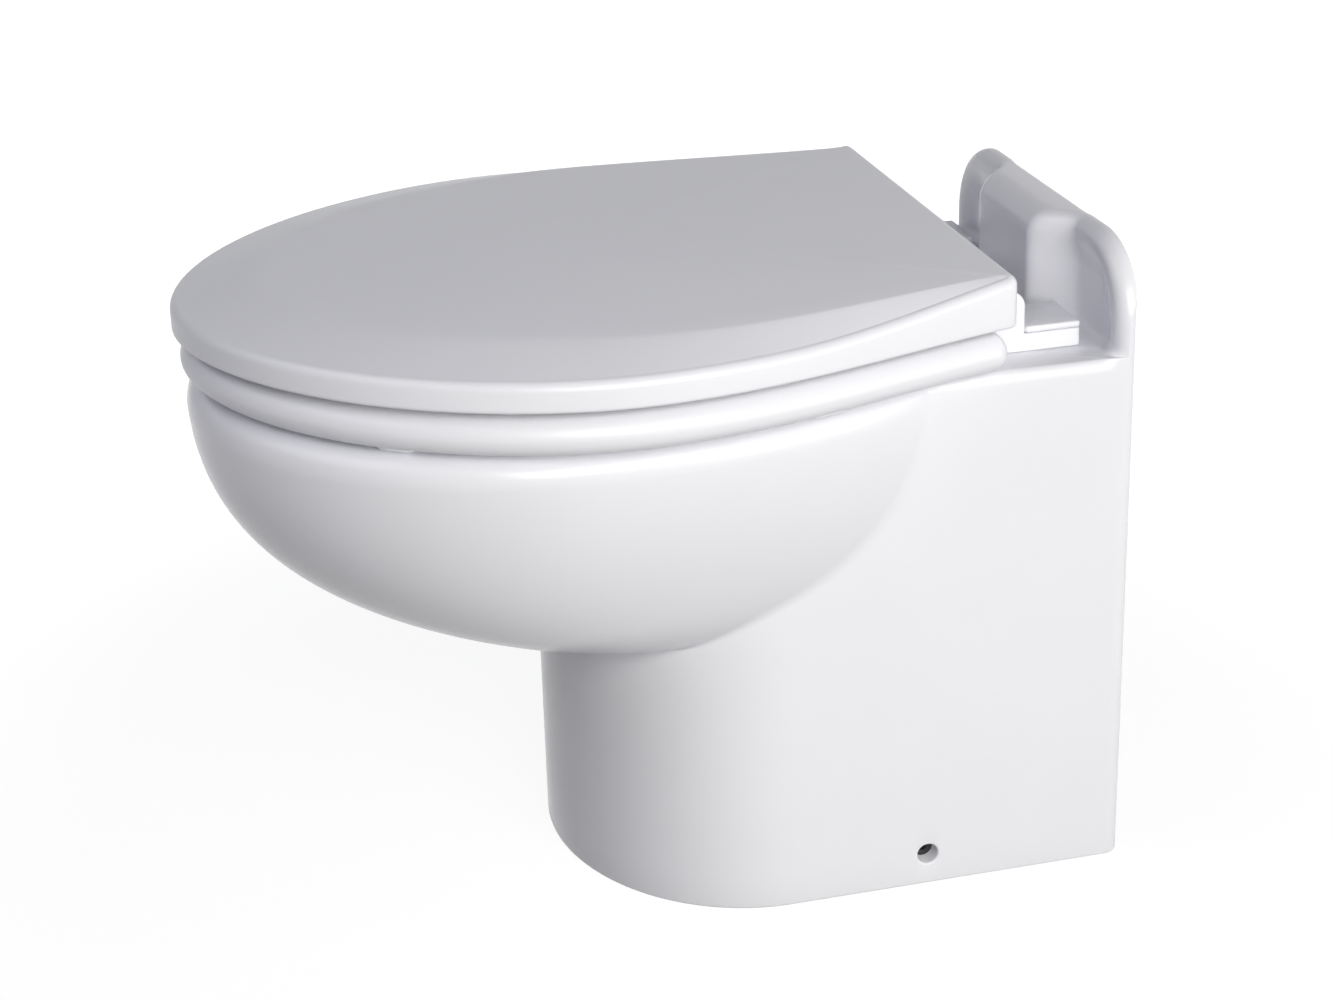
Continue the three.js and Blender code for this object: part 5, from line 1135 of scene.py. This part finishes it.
def make_motor(pump):
    """Motor can with a rolled seam at each end, its end cap with terminals, tie bolts, base plate with saddles,
    straps and feet."""
    z, r = pump.axis_height, pump.motor_radius
    at, ties, rim = (0, 0, z), [(side * TIE, 0, z) for side in (-1, 1)], r - 0.0008
    s, c = quarter(4)
    seams = [[(rim, y - 0.005), (r, y - 0.004), (r, y - 0.001), (rim, y)] for y in (-0.1035, -0.0275)]
    shoulder = np.stack([rim - 0.004 + 0.004 * s, -0.114 + 0.004 * (1 - c)], -1)
    can = lathe(np.vstack([[0, -0.114], shoulder, *seams, [rim, -0.0224], [r - 0.0012, -0.022], [0, -0.022]]),
                "y", at, 128)
    can = carve(can, bore(0.0043, -0.118, -0.0445, "y", at),
                *(bore(0.0025, -0.031, -0.018, "y", tie) for tie in ties))
    piece("motor_can", can, "enamel")
    edge = np.stack([0.028 + (r - 0.028) * c, -0.0172 + 0.0042 * s], -1)
    cap = lathe(np.vstack([[0, -0.0217], [r - 0.0004, -0.0217], [r, -0.0213], [r, -0.0178], edge, [0.026, -0.0136],
                           [0, -0.0136]]), "y", at, 128)
    block = slab(oblong(-0.012, 0.012, z + 0.014, z + 0.0275, 0.002), -0.0213, -0.013, "y", 0.0008)
    terminals = [rod(0.0026, -0.0165, -0.010, "y", (x, 0, z + 0.021), 0.0002) for x in (-0.006, 0.006)]
    cap = carve(joined(cap, block), *terminals, *(bore(0.0028, -0.024, -0.010, "y", tie) for tie in ties))
    piece("motor_end_cap", cap, "black_nylon")
    for name, side in SIDES:
        x = side * TIE
        slot = slab(oblong(x - 0.006, x + 0.006, z - 0.0005, z + 0.0005, EDGE), -0.0108, -0.008, "y", EDGE)
        head = carve(rod(0.005, -0.0127, -0.0097, "y", (x, 0, z), 0.0009), slot)
        piece(f"motor_bolt_{name}", gathered(rod(0.0022, -0.0305, -0.0124, "y", (x, 0, z)), head), "steel")
    plan = rounded([(-0.046, -0.156), (0.046, -0.156), (0.046, -0.022), (-0.046, -0.022), (-0.046, -0.033),
                    (-0.075, -0.033), (-0.075, -0.059), (-0.046, -0.059)],
                   [0.006, 0.006, 0.006, 0.004, 0.003, 0.004, 0.004, 0.003])
    angle = np.linspace(-0.5, 0.5, 41) * 1.62
    bed = saddle(r + GAP, z, angle, 0.0264)
    lift = saddle(pump.housing_radius + GAP, z, angle * 0.55, 0.0198)
    piece("pump_base_plate", gathered(
        slab(plan, 0.006, 0.009, "z", 0.0006), *(slab(bed, y - 0.007, y + 0.007, "y", 0.0005) for _, y in STRAPS),
        slab(lift, -0.156, -0.142, "y", 0.0005)), "steel")
    inner, outer, foot = r + GAP, r + GAP + 0.002, 0.0093
    arc = np.linspace(0, math.pi, 61)
    band = np.vstack([
        np.stack([outer * np.cos(arc), z + outer * np.sin(arc)], -1),
        [[-outer, foot + 0.002], [-inner - 0.012, foot + 0.002], [-inner - 0.012, foot], [-inner, foot]],
        np.stack([inner * np.cos(arc[::-1]), z + inner * np.sin(arc[::-1])], -1),
        [[inner, foot], [inner + 0.012, foot], [inner + 0.012, foot + 0.002], [outer, foot + 0.002]],
    ])
    for name, y in STRAPS:
        studs = [rod(0.0032, foot + 0.0018, foot + 0.0045, "z", (side * (inner + 0.0065), y, 0), 0.0008, 6)
                 for side in (-1, 1)]
        piece(f"motor_strap_{name}", gathered(slab(band, y - 0.006, y + 0.006, "y", 0.0004), *studs), "steel")
    for end, y in (("front", -0.142), ("rear", -0.0355)):
        for name, side in SIDES:
            foot_mesh = lathe([(0, 0), (0.0078, 0), (0.009, 0.0012), (0.0083, 0.0030), (0.0088, 0.0050),
                               (0.0082, 0.0057), (0, 0.0057)], "z", (side * 0.037, y, 0), 48)
            piece(f"rubber_foot_{end}_{name}", foot_mesh, "black_rubber")


def ridged(radius, low, high, shares, rise, steps):
    """Profile points of hose ridges: at each share of the length a sharp rise, a flat and a long fall."""
    return [(radius + up, mix(low, high, share) + step)
            for share in shares for up, step in zip((0, rise, rise, 0), (0, *steps))]


def make_outlet(pump):
    """Discharge bend with its flange, duckbill valve that closes from a circle to a slit along a smooth step,
    and the ridged hose tail."""
    x, z = pump.port_side, pump.outlet_height
    flange, circle = 0.029, 0.0255
    bolts = [(x + circle * math.cos(a), 0, z + circle * math.sin(a)) for a in (0.8, 2.34, 3.94, 5.48)]
    path = bend([(x, -0.140, 0.0947), (x, -0.140, z), (x, -0.0984, z)], 0.026, 22, 10)
    elbow = joined(tube(path, 0.0233, 0.0193, 64), sleeve(flange, 0.0213, -0.1034, -0.0984, "y", (x, 0, z), 0.0006))
    bosses = [rod(0.0036, -0.1030, -0.0988, "y", at, 0.0006, 24) for at in bolts]
    piece("discharge_elbow", gathered(elbow, *bosses), "black_nylon")
    collar = sleeve(flange, 0.015, -0.0981, -0.0931, "y", (x, 0, z), 0.0006)
    share = np.linspace(0, 1, 14)
    angle = np.arange(64) * 2 * math.pi / 64
    y = np.repeat(mix(-0.0956, -0.0741, share)[:, None], 64, 1)

    def sock(radius, slit):
        """Rings from a circle to a slit of the same width."""
        height = mix(radius, slit, smooth(share))[:, None]
        return np.stack([np.broadcast_to(x + radius * np.cos(angle), y.shape), y, z + height * np.sin(angle)], -1)

    bill = loft(np.concatenate([sock(0.017, 0.0024), sock(0.015, 0.0004)[::-1]]), closed=True)
    piece("joker_valve", gathered(collar, bill), "black_rubber")
    r, y0, y1, bevel = pump.hose_radius, -0.0928, -0.0308, 0.0006
    profile = [(0.019, y0), (flange - bevel, y0), (flange, y0 + bevel), (flange, y0 + 0.0044),
               (flange - bevel, y0 + 0.005), (0.0236, y0 + 0.005), (0.023, y0 + 0.0056), (0.023, y0 + 0.0234),
               (0.0224, y0 + 0.024), *ridged(r, y0, y1, (0.55, 0.68, 0.81), 0.0015, (0.0006, 0.0012, 0.0065)),
               (r, y1 - 0.0008), (r - 0.0008, y1), (0.0155, y1), (0.015, y1 - 0.0005), (0.015, y0 + 0.028),
               (0.019, y0 + 0.024)]
    screws = [rod(0.0030, y0 + 0.0046, y0 + 0.0066, "y", at, 0.0006, 6) for at in bolts]
    piece("outlet_nozzle", gathered(lathe(profile, "y", (x, 0, z), 96), *screws), "black_nylon")


# ---- Rinse valve and hose ----


def make_rinse(rinse):
    """Grommet, hose, solenoid valve with its coil and plunger, brass inlet tail, bracket and screw."""
    wall, start, top, r = -0.097, -0.100, rinse.inlet_height, rinse.hose_radius
    spud = lathe([(r + GAP, -0.1015), (0.0141, -0.1015), (0.0141, wall + GAP), (0.0176, wall + GAP),
                  (0.0181, wall + 0.0009), (0.0172, wall + 0.0033), (r + 0.0009, wall + 0.0033),
                  (r + GAP, wall + 0.0027)], "y", (0, 0, top), 64)
    piece("rinse_spud", spud, "pale_rubber")
    x, y, z = -rinse.side, -rinse.from_rear, rinse.height
    across, along, upright = (0, y, z), (x, 0, z), (x, y, 0)     # the valve's three axes
    drop, port, turn = top - z, x + 0.0153, 1.6 * r
    route = [(0, start, top), (0, start + 0.009, top), (0, start + turn, top - GAP),
             (0, mix(start + turn, y, 0.7), top - drop * 0.22), (0, y, top - drop * 0.6),
             (-turn * 0.5, y, z + drop * 0.08), (port + 0.0209, y, z), (port + 0.001, y, z)]
    piece("rinse_hose", tube(flowing(route, 240), r, 0.0083, 40, 0.0006, 0.0032), "vinyl", 50)
    valve = joined(rod(0.012, y - 0.018, y + 0.017, "y", along, 0.001, 64),
                   rod(0.015, z, z + 0.015, "z", upright, 0.001, 64),
                   rod(0.008, x, x + 0.037, "x", across, 0.0008, 64))
    valve = carve(valve, bore(0.005, y, y + 0.021, "y", along), bore(0.005, x, x + 0.041, "x", across),
                  bore(0.005, z, z + 0.019, "z", upright), bore(0.0023, z - 0.016, z - 0.0057, "z", upright))
    piece("valve_body", valve, "black_nylon")
    low, high, roof, c, waist = z + 0.0153, z + 0.0453, z + 0.023, rinse.coil_radius, rinse.coil_radius - 0.0012
    coil = lathe([(0.005, low), (c - 0.001, low), (c, low + 0.001), (c, low + 0.003), (waist, low + 0.0042),
                  (waist, high - 0.0042), (c, high - 0.003), (c, high - 0.001), (c - 0.001, high), (0.007, high),
                  (0.0066, high + 0.0026), (0.006, high + 0.003), (EDGE, high + 0.003), (EDGE, roof), (0.005, roof)],
                 "z", upright, 96)
    piece("valve_coil", coil, "black_nylon")
    piece("valve_plunger", rod(0.0045, z + 0.0053, z + 0.0193, "z", upright), "steel")
    y0, y1, end = y + 0.0173, y + 0.0233, y + 0.0393
    tail = lathe([(0.005, y0 + 0.002), (0.0085, y0 + 0.002), (0.008, y1),
                  *ridged(0.008, y1, end, (0.3, 0.6), 0.0012, (0.0004, 0.0009, 0.0036)),
                  (0.008, end - 0.0006), (0.0074, end), (0.005, end)], "y", along, 64)
    nut = carve(rod(0.012, y0, y1, "y", along, 0.0009, 6), bore(0.0051, y0 - 0.004, y1 + 0.004, "y", along))
    piece("inlet_barb", gathered(tail, nut), "brass", 25)
    shelf, outer, half, thick, foot = z - 0.0123, x - 0.013, 0.013, 0.0025, 0.0093
    line = rounded([(outer, foot), (outer + half, foot), (outer + half, foot + thick), (outer + thick, foot + thick),
                    (outer + thick, shelf - thick), (x + half, shelf - thick), (x + half, shelf), (outer, shelf)],
                   [0.003, 0.0005, 0.0005, 0.001, 0.001, 0.0005, 0.0005, 0.003])
    bracket = carve(slab(line, y - half, y + half, "y", 0.0005),
                    bore(0.0023, shelf - 0.007, shelf + 0.004, "z", upright))
    piece("valve_bracket", bracket, "steel")
    under = shelf - thick - GAP
    screw = gathered(rod(0.002, under - GAP, shelf + 0.0063, "z", upright),
                     rod(0.004, under - 0.0024, under, "z", upright, 0.0008, 6))
    piece("valve_screw", screw, "steel", 20)


# ---- Studio ----

# Where the camera stands, what it looks at and how far it is rolled: fitted to the pan's and the lid's outlines.
VIEW_FROM, VIEW_TO, VIEW_ROLL = (1.39604, -0.33580, 0.80198), (0, 0.01793, 0.20035), math.radians(-1.698)
LIGHTS_AIM = (0, 0, 0.18)
# Colour of the room's even light, and of the floor for rays that light the object.
ROOM_TONE, FLOOR_TONE = "C6CAF2", "5C5C62"
# Strength that lifts the seen floor to white, and the glow's share in it by distance from the middle.
FLOOR_GLOW = 1.16
FADE = {"From Min": 0.3, "From Max": 1.0, "To Min": 0.78, "To Max": 1.0}
# Name, width and height, place and colour of the lights.
LIGHTS = (
    ("key", (1.8, 1.3), (2.22, 0.165, 1.15), "FFFDF8"),
    ("side", (1.5, 0.7), (1.8, 1.6, 0.4), "FFFDF8"),
    ("front", (1.8, 1.2), (0.1, -1.7, 1.9), "F0F2FF"),
    ("back", (1.8, 1.2), (0.1, 2.3, 1.2), "F4F5FF"),
)


def seen_plainly(tree, lit, seen, output):
    """Shows one shader to rays that the eye sees straight, mirrored or through glass, and another to those
    that light the object."""
    rays = add_node(tree, "ShaderNodeLightPath", {})
    share = rays["Is Camera Ray"]
    for other in ("Is Glossy Ray", "Is Transmission Ray"):
        share = add_node(tree, "ShaderNodeMath", {0: share, 1: rays[other]}, operation="MAXIMUM")[0]
    both = add_node(tree, "ShaderNodeMixShader", {0: share, 1: lit, 2: seen})
    feed(tree, tree.nodes[output], {"Surface": both[0]})


def make_camera(scene, studio):
    """Camera of the chosen view, with the colours of the render left plain."""
    data = bpy.data.cameras.new("view")
    data.lens, data.sensor_width, data.clip_start = studio.lens, 36, 0.05
    camera = bpy.data.objects.new("view", data)
    turn = (Vector(VIEW_TO) - Vector(VIEW_FROM)).to_track_quat("-Z", "Y").to_matrix().to_4x4()
    camera.matrix_world = Matrix.Translation(VIEW_FROM) @ turn @ Matrix.Rotation(VIEW_ROLL, 4, "Z")
    scene.collection.objects.link(camera)
    scene.camera = camera
    scene.view_settings.view_transform = "Standard"


def make_room(scene, studio):
    """Even room light, which shows as white, and a floor that shows white further off and takes a soft shadow."""
    scene.world = bpy.data.worlds.new("room")
    scene.world.use_nodes = True
    tree = scene.world.node_tree
    even = tree.nodes["Background"]
    feed(tree, even, {"Color": (*linear(ROOM_TONE), 1), "Strength": studio.sky})
    white = add_node(tree, "ShaderNodeBackground", {"Color": (1, 1, 1, 1), "Strength": 1.0})
    seen_plainly(tree, even.outputs[0], white[0], "World Output")

    plane = bpy.data.meshes.new("floor")
    plane.from_pydata([(-6, -6, 0), (6, -6, 0), (6, 6, 0), (-6, 6, 0)], [], [(0, 1, 2, 3)])
    floor = bpy.data.objects.new("floor", plane)
    scene.collection.objects.link(floor)
    paper = bpy.data.materials.new("White studio paper")
    paper.use_nodes = True
    tree = paper.node_tree
    matt = tree.nodes["Principled BSDF"]
    feed(tree, matt, {"Base Color": (*linear(FLOOR_TONE), 1)})
    pale = add_node(tree, "ShaderNodeBsdfDiffuse", {"Color": (0.8, 0.8, 0.8, 1)})
    glow = add_node(tree, "ShaderNodeEmission", {"Color": (1, 1, 1, 1), "Strength": FLOOR_GLOW})
    place = add_node(tree, "ShaderNodeTexCoord", {})["Object"]
    far = add_node(tree, "ShaderNodeVectorMath", {0: place}, operation="LENGTH")["Value"]
    share = add_node(tree, "ShaderNodeMapRange", {"Value": far, **FADE}, interpolation_type="SMOOTHSTEP")
    shown = add_node(tree, "ShaderNodeMixShader", {0: share[0], 1: pale[0], 2: glow[0]})
    seen_plainly(tree, matt.outputs[0], shown[0], "Material Output")
    plane.materials.append(paper)


def make_stage(studio):
    """Camera of the chosen view, pale floor, four soft lights and an even room light."""
    scene = bpy.context.scene
    make_camera(scene, studio)
    make_room(scene, studio)
    for name, size, spot, tone in LIGHTS:
        lamp = bpy.data.lights.new(name, "AREA")
        lamp.shape, (lamp.size, lamp.size_y), lamp.energy = "RECTANGLE", size, getattr(studio, name)
        lamp.color = linear(tone)
        holder = bpy.data.objects.new(name, lamp)
        holder.location = spot
        holder.rotation_euler = (Vector(LIGHTS_AIM) - Vector(spot)).to_track_quat("-Z", "Y").to_euler()
        scene.collection.objects.link(holder)


# ---- Operators, panel and registration ----


class TOILET_OT_stage(bpy.types.Operator):
    """Sets up camera, floor, light and the finishes"""

    bl_idname = "toilet.stage"
    bl_label = "Stage"

    def execute(self, context):
        """Makes the studio and the finishes."""
        make_stage(context.scene.toilet_studio)
        make_finishes(context.scene.toilet_finishes)
        return {"FINISHED"}


class TOILET_OT_pan(bpy.types.Operator):
    """Builds the ceramic pan with its basin, hollow back and upstand"""

    bl_idname = "toilet.pan"
    bl_label = "Pan"

    def execute(self, context):
        """Makes the pan."""
        make_pan(context.scene.toilet_pan)
        return {"FINISHED"}


class TOILET_OT_covers(bpy.types.Operator):
    """Builds seat and lid with their hinge lugs and pads"""

    bl_idname = "toilet.covers"
    bl_label = "Seat and Lid"

    def execute(self, context):
        """Makes seat, lid and pads."""
        scene = context.scene
        make_seat(scene.toilet_covers, scene.toilet_hinge)
        make_lid(scene.toilet_covers, scene.toilet_hinge)
        make_pads()
        return {"FINISHED"}


class TOILET_OT_hinges(bpy.types.Operator):
    """Builds the hinge feet, caps, pins and bolts"""

    bl_idname = "toilet.hinges"
    bl_label = "Hinges"

    def execute(self, context):
        """Makes both hinges."""
        make_hinges(context.scene.toilet_hinge)
        return {"FINISHED"}


class TOILET_OT_fixings(bpy.types.Operator):
    """Builds the floor brackets and their screws"""

    bl_idname = "toilet.fixings"
    bl_label = "Floor Fixings"

    def execute(self, context):
        """Makes both floor fixings."""
        make_fixings(context.scene.toilet_pan)
        return {"FINISHED"}


class TOILET_OT_pump(bpy.types.Operator):
    """Builds the drain elbow, macerator, motor, base plate and outlet"""

    bl_idname = "toilet.pump"
    bl_label = "Pump and Outlet"

    def execute(self, context):
        """Makes the pump train."""
        pump = context.scene.toilet_pump
        make_drain(pump)
        make_pump(pump)
        make_motor(pump)
        make_outlet(pump)
        return {"FINISHED"}


class TOILET_OT_rinse(bpy.types.Operator):
    """Builds the rinse valve, its bracket and its hose"""

    bl_idname = "toilet.rinse"
    bl_label = "Rinse Valve"

    def execute(self, context):
        """Makes the rinse valve and hose."""
        make_rinse(context.scene.toilet_rinse)
        return {"FINISHED"}


class TOILET_PT_panel(bpy.types.Panel):
    """Lists the steps that build the toilet"""

    bl_idname = "TOILET_PT_panel"
    bl_label = "Marine Toilet"
    bl_space_type = "VIEW_3D"
    bl_region_type = "UI"
    bl_category = "Toilet"

    def draw(self, context):
        """Draws one button for each step."""
        for step in STEPS:
            self.layout.operator(step.bl_idname)


GROUPS = {
    "toilet_pan": PanSizes, "toilet_covers": CoverSizes, "toilet_hinge": HingeSizes, "toilet_pump": PumpSizes,
    "toilet_rinse": RinseSizes, "toilet_finishes": Finishes, "toilet_studio": StudioSettings,
}
STEPS = (TOILET_OT_stage, TOILET_OT_pan, TOILET_OT_covers, TOILET_OT_hinges, TOILET_OT_fixings, TOILET_OT_pump,
         TOILET_OT_rinse)
CLASSES = (*GROUPS.values(), *STEPS, TOILET_PT_panel)


def register():
    """Registers the classes and hangs the settings on the scene."""
    for cls in CLASSES:
        bpy.utils.register_class(cls)
    for name, group in GROUPS.items():
        setattr(bpy.types.Scene, name, PointerProperty(type=group))


def unregister():
    """Removes the settings and the classes."""
    for name in GROUPS:
        delattr(bpy.types.Scene, name)
    for cls in reversed(CLASSES):
        bpy.utils.unregister_class(cls)


def main():
    """Builds the stage and every piece."""
    register()
    for step in (bpy.ops.toilet.stage, bpy.ops.toilet.pan, bpy.ops.toilet.covers, bpy.ops.toilet.hinges,
                 bpy.ops.toilet.fixings, bpy.ops.toilet.pump, bpy.ops.toilet.rinse):
        step()


if __name__ == "__main__":
    main()
